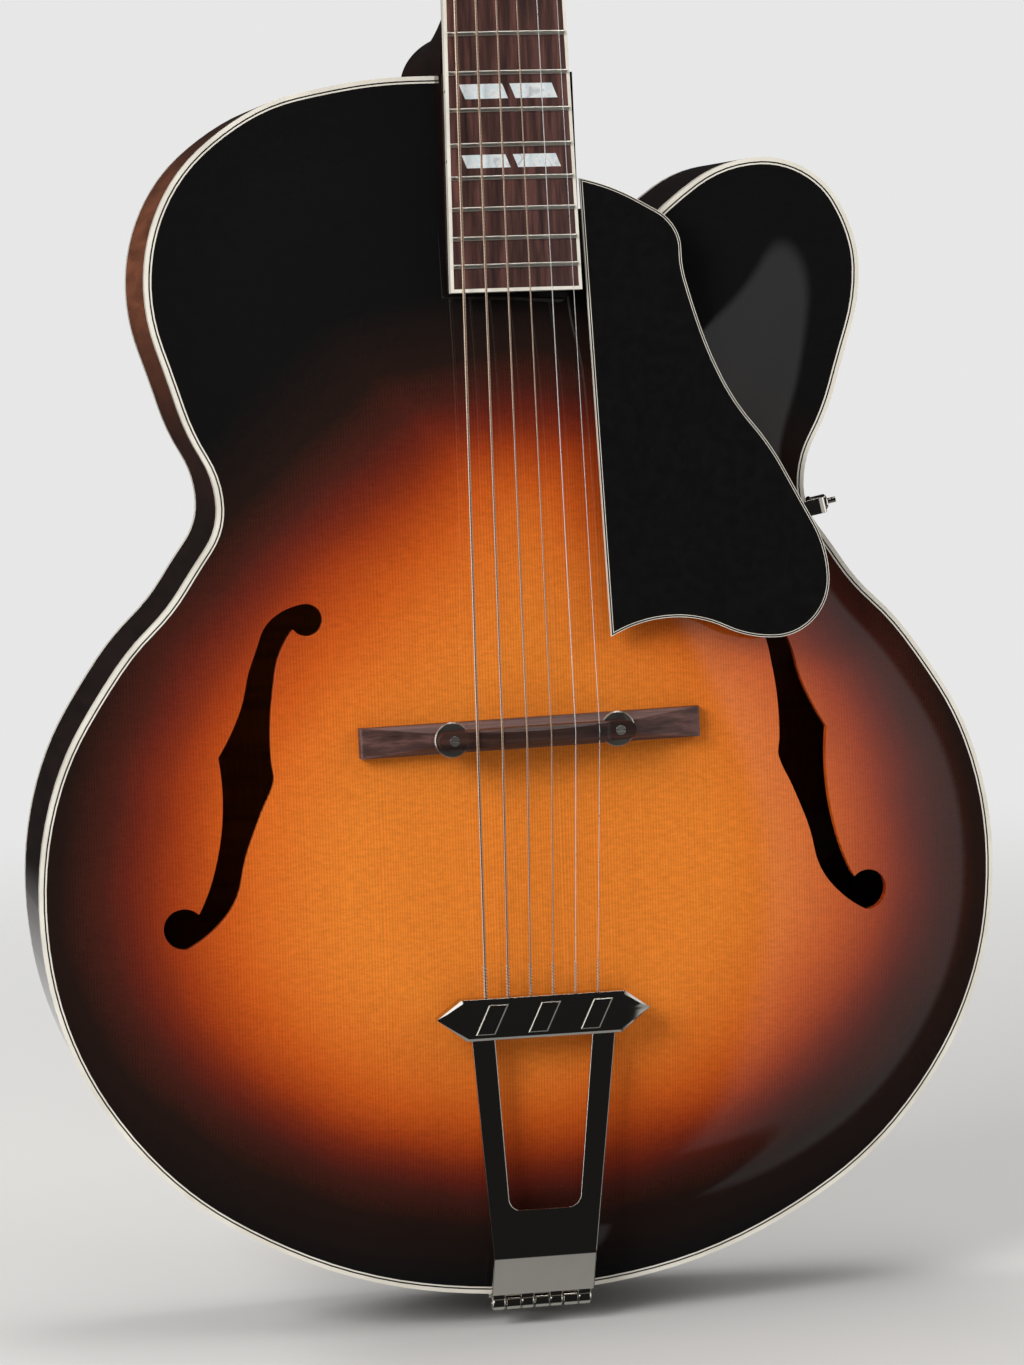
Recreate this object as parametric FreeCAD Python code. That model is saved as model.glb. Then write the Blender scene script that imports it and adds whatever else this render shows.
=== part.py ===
import FreeCAD, Part
import math
import os

# Archtop guitar with a body about 17 inches wide and one rounded cutaway, in millimetres.
# The origin is the seat of the end pin on the tail. +X is the treble side, +Y is the back
# and +Z runs up the neck.

Vector = FreeCAD.Vector
Placement = FreeCAD.Placement
Rotation = FreeCAD.Rotation
RIGHT = Vector(1, 0, 0)
BACK = Vector(0, 1, 0)
UP = Vector(0, 0, 1)

# Body outline
BODY_LENGTH = 548.6
LOWER_BOUT = 437.6
LOWER_BOUT_AT = 187.5
WAIST = 267.0
WAIST_DROP = 187.1
UPPER_BOUT = 323.6
UPPER_BOUT_DROP = 89.6
SHOULDER_FLAT = 36.0
HORN_DROP = 39.1
HORN_OUT = 117.7
CUTAWAY_DEPTH = 75.6
CUTAWAY_RADIUS = 18.0
CUTAWAY_LEAN = math.radians(45)
NECK_SIDE = 30.0
# Stations between the extremes, as shares of the width and of the height between them
LOWER_CURVE = [(0.483, 0.115), (0.779, 0.352), (0.965, 0.716)]
WAIST_CURVE = [(0.889, 0.319), (0.557, 0.603), (0.202, 0.803)]
UPPER_CURVE = [(0.555, 0.456)]
SHOULDER_CURVE = [(0.919, 0.447), (0.63, 0.83), (0.255, 0.976)]
HORN_CURVE = [(0.88, 0.463), (0.667, 0.756)]

# Plates, ribs and edge trim
RIM_DEPTH = 86.0
TOP_ARCH = 18.5
BACK_ARCH = 17.0
PLATE_THICKNESS = 5.5
RIB_THICKNESS = 2.4
BINDING_WIDTH = 1.8
PURFLING_WIDTH = 1.5
BACK_BINDING_WIDTH = 1.4
LINING_WIDTH = 6.0
LINING_HEIGHT = 14.0
GLUE_LINE = 0.05
ARCH_GRID = 12.0
ARCH_MARGIN = 24.0
RELAX_PASSES = 240
RELAX_STEP = 1.85
ARCH_SWELL = 0.75

# Blocks and bars inside the body
BLOCK_LENGTH = 62.0
BLOCK_WIDTH = 60.0
TAIL_BLOCK_LENGTH = 22.0
TAIL_BLOCK_WIDTH = 64.0
TONE_BAR_WIDTH = 7.0
TONE_BAR_HEIGHT = 16.0
TONE_BAR_START = 95.0
TONE_BAR_CLEAR = 56.0
TONE_BAR_SPREAD = 34.0
TONE_BAR_SPLAY = 2.0

# Neck and fingerboard
SCALE = 647.7
BODY_FRET = 14
FRET_COUNT = 20
OVERSTAND = 16.5
NECK_ANGLE = 3.64
BOARD_THICKNESS = 6.0
BOARD_RADIUS = 305.0
BOARD_MARGIN = 11.3
BOARD_END_WIDTH = 59.0
BOARD_BINDING = 1.5
NUT_WIDTH = 43.5
NUT_THICKNESS = 5.0
NUT_PROUD = 1.9
NECK_DEPTH_AT_NUT = 14.5
NECK_DEPTH_AT_HEEL = 17.0
HEEL_TOP = (28.0, 62.0)
HEEL_MIDDLE = (29.0, 31.0)
HEEL_END = (30.5, 24.5)
HEEL_CAP_THICKNESS = 2.5
TENON_WIDTH = 30.0
TENON_FLARE = 6.0
TENON_DEPTH = 22.0
TENON_HEIGHT = 68.0
FRET_WIDTH = 2.2
FRET_HEIGHT = 1.1
MARKER_FRETS = [3, 5, 7, 9, 12, 15, 17]
MARKER_DEPTH = 1.5
MARKER_GAP = 3.3
MARKER_WIDTH_SHARE = 0.34
MARKER_HEIGHT_SHARE = 0.4
MARKER_SLANT_SHARE = 0.38
SIDE_DOT_RADIUS = 1.2
TRUSS_ROD_RADIUS = 2.5
TRUSS_ROD_COVER = 4.0
TRUSS_NUT_RADIUS = 4.0
TRUSS_NUT_LENGTH = 9.0

# Headstock and tuners
HEAD_ANGLE = 14.0
HEAD_LENGTH = 176.0
HEAD_THICKNESS = 15.0
HEAD_LOW_WIDTH = 74.0
HEAD_TOP_WIDTH = 82.0
HEAD_CREST = 9.0
VENEER = 1.6
COVER_LENGTH = 40.0
COVER_WIDTH = 25.0
COVER_TIP_WIDTH = 15.0
POST_OUT = 25.0
POST_FIRST = 42.0
POST_STEP = 39.0
POST_RADIUS = 3.2
POST_WAIST_RADIUS = 2.7
POST_PROUD = 12.0
POST_CAP = 3.0
RUNNING_CLEARANCE = 0.1
BUSHING_RADIUS = 4.4
BUSHING_FLANGE = 5.2
BUSHING_FLANGE_HEIGHT = 1.0
BUSHING_DEPTH = 8.0
GEAR_TEETH = 14
GEAR_TIP_RADIUS = 4.8
GEAR_ROOT_RADIUS = 3.9
GEAR_WIDTH = 4.0
WORM_RADIUS = 2.4
WORM_LENGTH = 9.0
MESH_GAP = 0.3
KEY_SHAFT_RADIUS = 1.7
HOUSING_WALL = 1.2
HOUSING_PLATE = 1.2
HOUSING_EAR = 5.0
BUTTON_WIDTH = 22.0
BUTTON_LENGTH = 16.0
BUTTON_THICKNESS = 7.0
BUTTON_GAP = 4.0
BUTTON_COLLAR = 5.0
BUTTON_COLLAR_RADIUS = 3.2
SCREW_HEAD_RADIUS = 2.0
SCREW_HEAD_HEIGHT = 1.4
SCREW_RADIUS = 1.1
SCREW_LENGTH = 8.0

# Strings, thickest first
STRING_DIAMETERS = [1.35, 1.07, 0.81, 0.61, 0.41, 0.3]
NUT_SPREAD = 36.0
SADDLE_SPREAD = 54.9
TAIL_SPREAD = 50.9
HEIGHT_AT_NUT = 1.4
HEIGHT_AT_SADDLE = 5.4
STRING_BEND = 6.0
STRING_CLEARANCE = 0.05
WIND_TURNS = 3
WIND_GAP = 0.5

# Bridge
COMPENSATION = 3.2
BRIDGE_SKEW = 1.0
BASE_LENGTH = 154.0
BASE_WIDTH = 13.4
BASE_TOP_WIDTH = 6.4
BASE_HEIGHT = 9.5
BASE_BEVEL = 4.5
BASE_END_HEIGHT = 4.5
BASE_END_ROUND = 2.0
RAMP_CLEAR = 1.0
WHEEL_RADIUS = 8.0
WHEEL_NOTCHES = 44
WHEEL_NOTCH = 0.3
WHEEL_THICKNESS = 2.6
WHEEL_GAP = 1.5
BRIDGE_POST_SPREAD = 74.6
BRIDGE_POST_RADIUS = 2.2
BRIDGE_POST_SET = 6.0
SADDLE_PAST_POST = 7.0
SADDLE_WIDTH = 8.4
SADDLE_RIDGE = 3.4
SADDLE_CROWN = 62.0
SADDLE_SHOULDER = 6.2

# F-holes, measured from the bridge line: the outer edge's two runs, the inner edge's two runs and the eyes
F_UPPER_EYE = (97.3, 53.9, 7.1)
F_LOWER_EYE = (156.1, -80.8, 9.3)
F_OUTER_TOP = [(138.7, -5.4), (128.7, 13.7), (122.1, 35.6), (111.1, 55.7)]
F_INNER_TOP = [(109.5, 39.2), (113.4, 21.8), (115.3, -0.5)]
F_INNER_LOW = [(114.5, -17.1), (125.8, -43.8), (137.1, -75.4)]
F_OUTER_LOW = [(145.5, -65.0), (141.1, -50.8), (137.6, -24.5)]
F_INNER_CUSP = (103.4, 49.5)
F_OUTER_CUSP = (149.7, -74.1)
F_EYE_LEAN = 1.0

# Tailpiece
CROSSBAR_AT = 133.0
CROSSBAR_TIP = 48.4
CROSSBAR_TOP = 37.0
CROSSBAR_LOW = 35.0
CROSSBAR_HEIGHT = 18.6
CROSSBAR_DEPTH = 7.5
CROSSBAR_WALL = 1.6
CROSSBAR_BEVEL = 1.2
TAIL_STRING_HEIGHT = 27.9
CROSSBAR_PROUD = 4.6
FRAME_THICKNESS = 2.0
FRAME_LOW_WIDTH = 47.2
FRAME_TOP_WIDTH = 67.0
FRAME_BEND_AT = 21.4
FRAME_BEND_HEIGHT = 17.0
FRAME_BEND_RADIUS = 8.0
WINDOW_START = 42.7
WINDOW_LOW_WIDTH = 32.0
WINDOW_TOP_WIDTH = 45.8
WINDOW_CORNER = 6.0
MARK_WIDTH = 8.6
MARK_HEIGHT = 13.2
MARK_SLANT = 6.4
MARK_STEP = 23.7
MARK_PROUD = 0.8
HINGE_RADIUS = 3.2
HINGE_PIN_RADIUS = 1.2
HINGE_AHEAD = 3.6
HINGE_BELOW = 2.8
KNUCKLES = 7
KNUCKLE_GAP = 0.3
BRACKET_THICKNESS = 1.6
BRACKET_LENGTH = 62.0
BRACKET_END_WIDTH = 26.0
BALL_RADIUS = 2.2
BALL_LENGTH = 3.6
STRING_SLOT = 2.2

# End pin
PIN_SHANK_RADIUS = 3.5
PIN_SHANK_LENGTH = 20.0
PIN_COLLAR_RADIUS = 6.0
PIN_COLLAR_HEIGHT = 2.0
PIN_NECK_RADIUS = 4.2
PIN_NECK_LENGTH = 6.0
PIN_HEAD_RADIUS = 7.0
PIN_HEAD_HEIGHT = 4.0

# Pickguard, in the neck's plane and measured from the neck joint
GUARD_DROP = 4.0
GUARD_THICKNESS = 2.4
GUARD_TRIM = 1.3
GUARD_TIP = (30.9, -46.7)
GUARD_HEEL = (36.4, -249.6)
GUARD_CURVE = [(56.6, -56.7), (72.0, -67.8), (76.9, -92.4), (92.0, -136.9), (118.6, -178.3)]
GUARD_SIDE = (137.2, -227.2)
GUARD_FOOT = (111.4, -253.3)
GUARD_HOLLOW = (65.0, -242.3)
GUARD_BLOCK = (10.0, 24.0)
GUARD_BLOCK_AT = -72.0
CLAMP_BELOW_WAIST = 7.8
CLAMP_LEAN = 11.0
CLAMP_GAP = 0.3
CLAMP_WIDTH = 7.0
CLAMP_THICKNESS = 1.6
CLAMP_REACH = 24.0
CLAMP_DROP = 34.0
CLAMP_STUD_RADIUS = 1.3
CLAMP_STUD_LENGTH = 15.0
CLAMP_NUT_RADIUS = 3.6
CLAMP_NUT_LENGTH = 9.0
CLAMP_COLLAR_RADIUS = 4.2
CLAMP_COLLAR_LENGTH = 1.6
CLAMP_NUT_CHAMFER = 0.6
SIDE_CLEARANCE = 0.5

WAIST_AT = BODY_LENGTH - WAIST_DROP
UPPER_BOUT_AT = BODY_LENGTH - UPPER_BOUT_DROP
SADDLE_LENGTH = BRIDGE_POST_SPREAD + 2 * SADDLE_PAST_POST
HALF_RIM = RIM_DEPTH / 2
FRONT_EDGE = (-HALF_RIM, -HALF_RIM + PLATE_THICKNESS)
BACK_EDGE = (HALF_RIM - PLATE_THICKNESS, HALF_RIM)
FAR = 400.0
NUT_AT = SCALE * (1 - 2 ** (-BODY_FRET / 12))
NECK = Placement(Vector(0, -HALF_RIM - OVERSTAND, BODY_LENGTH), Rotation(RIGHT, -NECK_ANGLE))
HEAD = NECK.multiply(
    Placement(Vector(0, BOARD_THICKNESS, NUT_AT + NUT_THICKNESS), Rotation(RIGHT, -HEAD_ANGLE))
)


# Curves

def plan(x, z):
    return Vector(x, 0, z)


def unit(vector):
    return Vector(vector).normalize()


def line(start, end):
    return Part.LineSegment(start, end).toShape()


def arc_from(start, tangent, end):
    chord = end - start
    along = unit(chord)
    aside = tangent - along * tangent.dot(along)
    if aside.Length < 1e-7:
        return line(start, end)
    quarter_turn = math.atan2(aside.Length, tangent.dot(along)) / 2
    bulge = chord.Length / 2 * math.tan(quarter_turn)
    return Part.Arc(start, (start + end) * 0.5 + unit(aside) * bulge, end).toShape()


def biarc(start, leaving, end, arriving):
    """Two arcs that meet smoothly and run from one direction to another."""
    chord = end - start
    reach = chord.dot(leaving + arriving)
    spread = 2 * (1 - leaving.dot(arriving))
    square = chord.dot(chord)
    if spread < 1e-9:
        arm = square / (2 * reach)
    else:
        arm = (math.sqrt(reach ** 2 + spread * square) - reach) / spread
    first = start + leaving * arm
    second = end - arriving * arm
    joint = (first + second) * 0.5
    return [arc_from(start, leaving, joint), arc_from(joint, unit(second - first), end)]


def circle_tangent(before, here, after):
    back = here - before
    ahead = after - here
    return unit(back * (1 / back.Length ** 2) + ahead * (1 / ahead.Length ** 2))


def mirrored_tangent(tangent, here, there):
    along = unit(there - here)
    return along * (2 * tangent.dot(along)) - tangent


def fill_tangents(stations):
    """Stations are (point, direction or None); a missing direction follows the neighbours."""
    points = [station[0] for station in stations]
    tangents = [station[1] for station in stations]
    last = len(points) - 1
    for i in range(1, last):
        if tangents[i] is None:
            tangents[i] = circle_tangent(points[i - 1], points[i], points[i + 1])
    if tangents[0] is None:
        tangents[0] = mirrored_tangent(tangents[1], points[0], points[1])
    if tangents[last] is None:
        tangents[last] = mirrored_tangent(tangents[last - 1], points[last - 1], points[last])
    return list(zip(points, tangents))


def smooth_run(stations):
    filled = fill_tangents(stations)
    edges = []
    for (start, leaving), (end, arriving) in zip(filled, filled[1:]):
        edges += biarc(start, leaving, end, arriving)
    return edges


def free(points):
    return [(plan(x, z), None) for x, z in points]


def polygon(points):
    return Part.Wire(Part.makePolygon(points + points[:1]).Edges)


def rounded_path(points, radius):
    """Straight runs joined by tangent arcs of one radius."""
    edges = []
    here = points[0]
    for before, corner, after in zip(points, points[1:], points[2:]):
        inward = unit(before - corner)
        outward = unit(after - corner)
        turn = math.pi - inward.getAngle(outward)
        setback = radius * math.tan(turn / 2)
        start = corner + inward * setback
        end = corner + outward * setback
        edges.append(line(here, start))
        edges.append(arc_from(start, unit(corner - before), end))
        here = end
    edges.append(line(here, points[-1]))
    return edges


def tube(edges, radius):
    path = Part.Wire(edges)
    start = edges[0].valueAt(edges[0].FirstParameter)
    ring = Part.Wire(Part.makeCircle(radius, start, edges[0].tangentAt(edges[0].FirstParameter)))
    return path.makePipeShell([ring], True, False)


# Solids

def prism(wire, front, back):
    face = Part.Face(wire)
    face.translate(Vector(0, front, 0))
    return face.extrude(Vector(0, back - front, 0))


def box(left, right, front, back, low, high):
    return Part.makeBox(right - left, back - front, high - low, Vector(left, front, low))


def rod(start, end, radius):
    return Part.makeCylinder(radius, (end - start).Length, start, end - start)


def fuse(shapes):
    return shapes[0].multiFuse(shapes[1:]).removeSplitter()


def group(solids):
    return Part.makeCompound(solids)


def set_in(frame, shape):
    moved = shape.copy()
    moved.Placement = frame.multiply(moved.Placement)
    return moved


def turned(profile, axis=BACK):
    """A closed profile of (radius, height) points turned about the axis."""
    wire = polygon([Vector(radius, height, 0) for radius, height in profile])
    solid = Part.Face(wire).revolve(Vector(0, 0, 0), BACK, 360)
    solid.Placement = Placement(Vector(0, 0, 0), Rotation(BACK, axis))
    return solid


def screw(seat, inward):
    """A small round-head screw whose head sits on the seat."""
    head = rod(seat - inward * SCREW_HEAD_HEIGHT, seat, SCREW_HEAD_RADIUS)
    return head.fuse(rod(seat, seat + inward * SCREW_LENGTH, SCREW_RADIUS)).removeSplitter()


# Body outline

def between(low, high, share):
    return low + (high - low) * share


def lower_half():
    """Stations from the tail to the waist, as half width and height."""
    bout = LOWER_BOUT / 2
    waist = WAIST / 2
    stations = [(0, 0, (1, 0))]
    stations += [(bout * wide, LOWER_BOUT_AT * high, None) for wide, high in LOWER_CURVE]
    stations.append((bout, LOWER_BOUT_AT, (0, 1)))
    for wide, high in WAIST_CURVE:
        stations.append((between(waist, bout, wide), between(LOWER_BOUT_AT, WAIST_AT, high), None))
    stations.append((waist, WAIST_AT, (0, 1)))
    upper = UPPER_BOUT / 2
    for wide, high in UPPER_CURVE:
        stations.append((between(waist, upper, wide), between(WAIST_AT, UPPER_BOUT_AT, high), None))
    stations.append((upper, UPPER_BOUT_AT, (0, 1)))
    return stations


def treble_stations():
    stations = lower_half()
    horn_top = BODY_LENGTH - HORN_DROP
    upper = UPPER_BOUT / 2
    for wide, high in HORN_CURVE:
        x = between(HORN_OUT, upper, wide)
        stations.append((x, between(UPPER_BOUT_AT, horn_top, high), None))
    stations.append((HORN_OUT, horn_top, (-1, 0)))
    lean = CUTAWAY_LEAN
    bottom = BODY_LENGTH - CUTAWAY_DEPTH
    middle = NECK_SIDE + CUTAWAY_RADIUS
    stations.append((
        middle + CUTAWAY_RADIUS * math.sin(lean),
        bottom + CUTAWAY_RADIUS * (1 - math.cos(lean)),
        (-math.cos(lean), -math.sin(lean)),
    ))
    stations.append((middle, bottom, (-1, 0)))
    stations.append((NECK_SIDE, bottom + CUTAWAY_RADIUS, (0, 1)))
    return stations


def bass_stations():
    stations = lower_half()
    upper = UPPER_BOUT / 2
    for wide, high in SHOULDER_CURVE:
        x = between(SHOULDER_FLAT, upper, wide)
        stations.append((x, between(UPPER_BOUT_AT, BODY_LENGTH, high), None))
    stations.append((SHOULDER_FLAT, BODY_LENGTH, (-1, 0)))
    return stations


def inset_run(stations, side, inset):
    """One side of the body, moved inwards by the inset."""
    points = [(plan(side * x, z), tan and unit(plan(side * tan[0], tan[1]))) for x, z, tan in stations]
    moved = []
    for point, tangent in fill_tangents(points):
        inward = plan(-tangent.z, tangent.x) * side
        moved.append((point + inward * inset, tangent))
    return moved


def body_outline(inset=0.0):
    treble = inset_run(treble_stations(), 1, inset)
    bass = inset_run(bass_stations(), -1, inset)
    corner = plan(NECK_SIDE - inset, BODY_LENGTH - inset)
    edges = smooth_run(treble)
    edges.append(line(treble[-1][0], corner))
    edges.append(line(corner, bass[-1][0]))
    edges += smooth_run(bass)
    return Part.Wire(Part.sortEdges(edges)[0])


def rim_ring(outer, inner, front, back):
    return prism(body_outline(outer), front, back).cut(prism(body_outline(inner), front - 1, back + 1))


# Carved arch: the shape of a skin blown up inside the outline, eased into the edge

def inside_test(corners):
    def inside(x, z):
        hit = False
        before = corners[-1]
        for here in corners:
            if (here.z > z) != (before.z > z):
                if x < here.x + (before.x - here.x) * (z - here.z) / (before.z - here.z):
                    hit = not hit
            before = here
        return hit
    return inside


def blown_skin():
    """Heights of the blown skin, 1 at its highest, on a square grid over the outline."""
    reach = max(LOWER_BOUT, UPPER_BOUT) / 2 + ARCH_MARGIN
    columns = math.ceil(2 * reach / ARCH_GRID) + 1
    rows = math.ceil((BODY_LENGTH + 2 * ARCH_MARGIN) / ARCH_GRID) + 1
    xs = [-reach + ARCH_GRID * i for i in range(columns)]
    zs = [-ARCH_MARGIN + ARCH_GRID * k for k in range(rows)]
    inside = inside_test(body_outline().discretize(500))
    cells = [(i, k) for i in range(1, columns - 1) for k in range(1, rows - 1) if inside(xs[i], zs[k])]
    skin = [[0.0] * rows for x in xs]
    for step in range(RELAX_PASSES):
        for i, k in cells:
            around = skin[i - 1][k] + skin[i + 1][k] + skin[i][k - 1] + skin[i][k + 1]
            skin[i][k] += RELAX_STEP * ((around + 1) / 4 - skin[i][k])
    peak = max(max(column) for column in skin)
    return xs, zs, [[value / peak for value in column] for column in skin]


SKIN_X, SKIN_Z, SKIN = blown_skin()


def arch_face(edge, rise):
    """The carved surface: the edge's depth, and the rise of its middle."""
    surface = Part.BSplineSurface()
    surface.interpolate([
        [
            Vector(x, edge + rise * math.sin(math.pi / 2 * height ** ARCH_SWELL) ** 2, z)
            for z, height in zip(SKIN_Z, column)
        ]
        for x, column in zip(SKIN_X, SKIN)
    ])
    return surface.toShape()


TOP_FACE = arch_face(-HALF_RIM, -TOP_ARCH)
BACK_FACE = arch_face(HALF_RIM, BACK_ARCH)


def behind_top(gap):
    """Everything behind the top's outer surface, which moves outwards by the gap."""
    face = TOP_FACE.copy()
    face.translate(Vector(0, -gap, 0))
    return face.extrude(Vector(0, FAR, 0))


def hollow():
    """The room between the two plates and inside the ribs."""
    behind = behind_top(-PLATE_THICKNESS - GLUE_LINE)
    face = BACK_FACE.copy()
    face.translate(Vector(0, -PLATE_THICKNESS - GLUE_LINE, 0))
    room = prism(body_outline(RIB_THICKNESS), -HALF_RIM - TOP_ARCH, HALF_RIM + BACK_ARCH)
    room = room.cut(rim_ring(0, BINDING_WIDTH + PURFLING_WIDTH, *FRONT_EDGE))
    return room.common(behind).common(face.extrude(Vector(0, -FAR, 0)))


# Strings: where they run

def string_x(spread, number):
    return spread * ((number - 1) / 5 - 0.5)


def crown_drop(x):
    return BOARD_RADIUS - math.sqrt(BOARD_RADIUS ** 2 - x ** 2)


def string_radius(number):
    return STRING_DIAMETERS[number - 1] / 2


def string_at_nut(number):
    x = string_x(NUT_SPREAD, number)
    lift = HEIGHT_AT_NUT + string_radius(number) - crown_drop(x)
    return NECK.multVec(Vector(x, -lift, NUT_AT + NUT_THICKNESS / 2))


def saddle_point(x, rise):
    lift = HEIGHT_AT_SADDLE + rise - crown_drop(x)
    along = NUT_AT - SCALE - COMPENSATION + x * math.tan(math.radians(BRIDGE_SKEW))
    return NECK.multVec(Vector(x, -lift, along))


def string_at_saddle(number):
    return saddle_point(string_x(SADDLE_SPREAD, number), string_radius(number))


BRIDGE_AT = saddle_point(0, 0).z
SADDLE_TOP = saddle_point(0, 0).y
BRIDGE = Placement(Vector(0, 0, BRIDGE_AT), Rotation(BACK, -BRIDGE_SKEW))
CROSSBAR_UPPER = CROSSBAR_AT + CROSSBAR_HEIGHT * 0.44
BALL_AT = CROSSBAR_UPPER - CROSSBAR_WALL - BALL_RADIUS


def string_at_tail(number):
    return Vector(string_x(TAIL_SPREAD, number), -HALF_RIM - TAIL_STRING_HEIGHT, BALL_AT + BALL_RADIUS)


def post_place(number):
    """Side and height of a tuner post on the headstock, in the headstock's own plane."""
    bass = number <= 3
    row = number - 1 if bass else 6 - number
    return (-1 if bass else 1), POST_FIRST + POST_STEP * row


def wind_radius(number):
    return POST_WAIST_RADIUS + string_radius(number) + STRING_CLEARANCE


def wind_start(number):
    """Where the string first touches its winding, as the angle about the post and the height."""
    side, height = post_place(number)
    post = Vector(side * POST_OUT, 0, height)
    nut = HEAD.inverse().multVec(string_at_nut(number))
    away = Vector(nut.x - post.x, 0, nut.z - post.z)
    opening = math.acos(wind_radius(number) / away.Length)
    angle = math.atan2(away.z, away.x) - side * opening
    return angle, -VENEER - POST_PROUD + POST_CAP + string_radius(number) + STRING_CLEARANCE


def wind_point(number, turn):
    side, height = post_place(number)
    angle, lift = wind_start(number)
    radius = wind_radius(number)
    now = angle - side * turn * 2 * math.pi
    pitch = STRING_DIAMETERS[number - 1] + WIND_GAP
    middle = Vector(side * POST_OUT, lift + pitch * turn, height)
    point = middle + plan(math.cos(now), math.sin(now)) * radius
    around = plan(math.sin(now), -math.cos(now)) * (side * 2 * math.pi * radius)
    return point, unit(around + BACK * pitch)


# Body pieces

def f_hole(side):
    def at(point):
        return plan(side * point[0], BRIDGE_AT + point[1])

    def eye_arc(eye, start, end):
        middle = at(eye)
        far = unit(middle * 2 - start - end)
        return Part.Arc(start, middle + far * eye[2], end).toShape()

    def run(points, start=None, end=None):
        stations = [(at(point), None) for point in points]
        if start:
            stations.insert(0, (at(start), None))
        if end:
            stations.append((at(end), None))
        return smooth_run(stations)

    top = (F_UPPER_EYE[0] + F_EYE_LEAN, F_UPPER_EYE[1] + F_UPPER_EYE[2])
    low = (F_LOWER_EYE[0] - F_EYE_LEAN, F_LOWER_EYE[1] - F_LOWER_EYE[2])
    edges = run(F_OUTER_TOP, end=top)
    edges.append(eye_arc(F_UPPER_EYE, at(top), at(F_INNER_CUSP)))
    edges += run(F_INNER_TOP + F_INNER_LOW[:1], start=F_INNER_CUSP)
    edges += run(F_INNER_LOW, end=low)
    edges.append(eye_arc(F_LOWER_EYE, at(low), at(F_OUTER_CUSP)))
    edges += run(F_OUTER_LOW + F_OUTER_TOP[:1], start=F_OUTER_CUSP)
    return prism(Part.Wire(edges), -HALF_RIM - FAR, HALF_RIM / 2)


def carved_plate(face, inward, inset):
    slab = face.extrude(BACK * (inward * PLATE_THICKNESS))
    outline = prism(body_outline(inset), -FAR, FAR)
    return slab.common(outline).Solids[0]


def soundboard():
    plate = carved_plate(TOP_FACE, 1, BINDING_WIDTH + PURFLING_WIDTH)
    return plate.cut([f_hole(-1), f_hole(1)]).Solids[0]


def back_plate():
    return carved_plate(BACK_FACE, -1, BACK_BINDING_WIDTH)


def tenon():
    inner = BODY_LENGTH - TENON_DEPTH
    half = TENON_WIDTH / 2
    wide = half + TENON_FLARE / 2
    corners = [plan(-half, BODY_LENGTH), plan(half, BODY_LENGTH), plan(wide, inner), plan(-wide, inner)]
    return prism(polygon(corners), FRONT_EDGE[1], FRONT_EDGE[1] + TENON_HEIGHT)


def rib(side):
    ring = rim_ring(0, RIB_THICKNESS, FRONT_EDGE[1], BACK_EDGE[0])
    half = box(min(0, side * FAR), max(0, side * FAR), -HALF_RIM, HALF_RIM, -FAR, 2 * FAR)
    return ring.common(half)


def neck_block_room():
    half = BLOCK_WIDTH / 2
    return box(-half, half, -FAR, FAR, BODY_LENGTH - BLOCK_LENGTH, BODY_LENGTH)


def tail_block_room():
    half = TAIL_BLOCK_WIDTH / 2
    return box(-half, half, -FAR, FAR, 0, RIB_THICKNESS + TAIL_BLOCK_LENGTH)


def tone_bar(room, side):
    length = BODY_LENGTH - BLOCK_LENGTH - TONE_BAR_CLEAR - TONE_BAR_START
    bar = box(-TONE_BAR_WIDTH / 2, TONE_BAR_WIDTH / 2, -FAR, FAR, 0, length)
    spread = side * TONE_BAR_SPREAD
    bar.Placement = Placement(Vector(spread, 0, TONE_BAR_START), Rotation(BACK, -side * TONE_BAR_SPLAY))
    shallow = TOP_FACE.copy().extrude(BACK * (PLATE_THICKNESS + TONE_BAR_HEIGHT))
    return room.common(bar).common(shallow).Solids[0]


def lining(front, back, cuts):
    inner = RIB_THICKNESS + LINING_WIDTH
    return rim_ring(RIB_THICKNESS, inner, front, back).cut(cuts)


# Neck, built in its own frame: the board's top at the neck joint is its origin

def fret_at(number):
    return NUT_AT - SCALE * (1 - 2 ** (-number / 12))


BOARD_END = fret_at(FRET_COUNT) - BOARD_MARGIN


def board_half_width(along):
    share = (NUT_AT - along) / (NUT_AT - BOARD_END)
    return between(NUT_WIDTH, BOARD_END_WIDTH, share) / 2


def board_crown(lift=0.0):
    radius = BOARD_RADIUS + lift
    return Part.makeCylinder(radius, 2 * FAR + SCALE, Vector(0, BOARD_RADIUS, -FAR), UP)


def board_prism(inset, front, back):
    end = BOARD_END + inset
    low = board_half_width(BOARD_END) - inset
    top = board_half_width(NUT_AT) - inset
    corners = [plan(-low, end), plan(low, end), plan(top, NUT_AT), plan(-top, NUT_AT)]
    return prism(polygon(corners), front, back)


def marker(fret, side):
    middle = (fret_at(fret) + fret_at(fret - 1)) / 2
    step = fret_at(fret - 1) - fret_at(fret)
    wide = 2 * board_half_width(middle) * MARKER_WIDTH_SHARE
    tall = step * MARKER_HEIGHT_SHARE
    slant = tall * MARKER_SLANT_SHARE
    left = MARKER_GAP / 2 if side > 0 else -MARKER_GAP / 2 - wide
    corners = [
        plan(left + slant / 2, middle - tall / 2),
        plan(left + wide + slant / 2, middle - tall / 2),
        plan(left + wide - slant / 2, middle + tall / 2),
        plan(left - slant / 2, middle + tall / 2),
    ]
    tile = prism(polygon(corners), -1, BOARD_THICKNESS / 2).common(board_crown())
    return tile.cut(board_crown(-MARKER_DEPTH))


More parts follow.
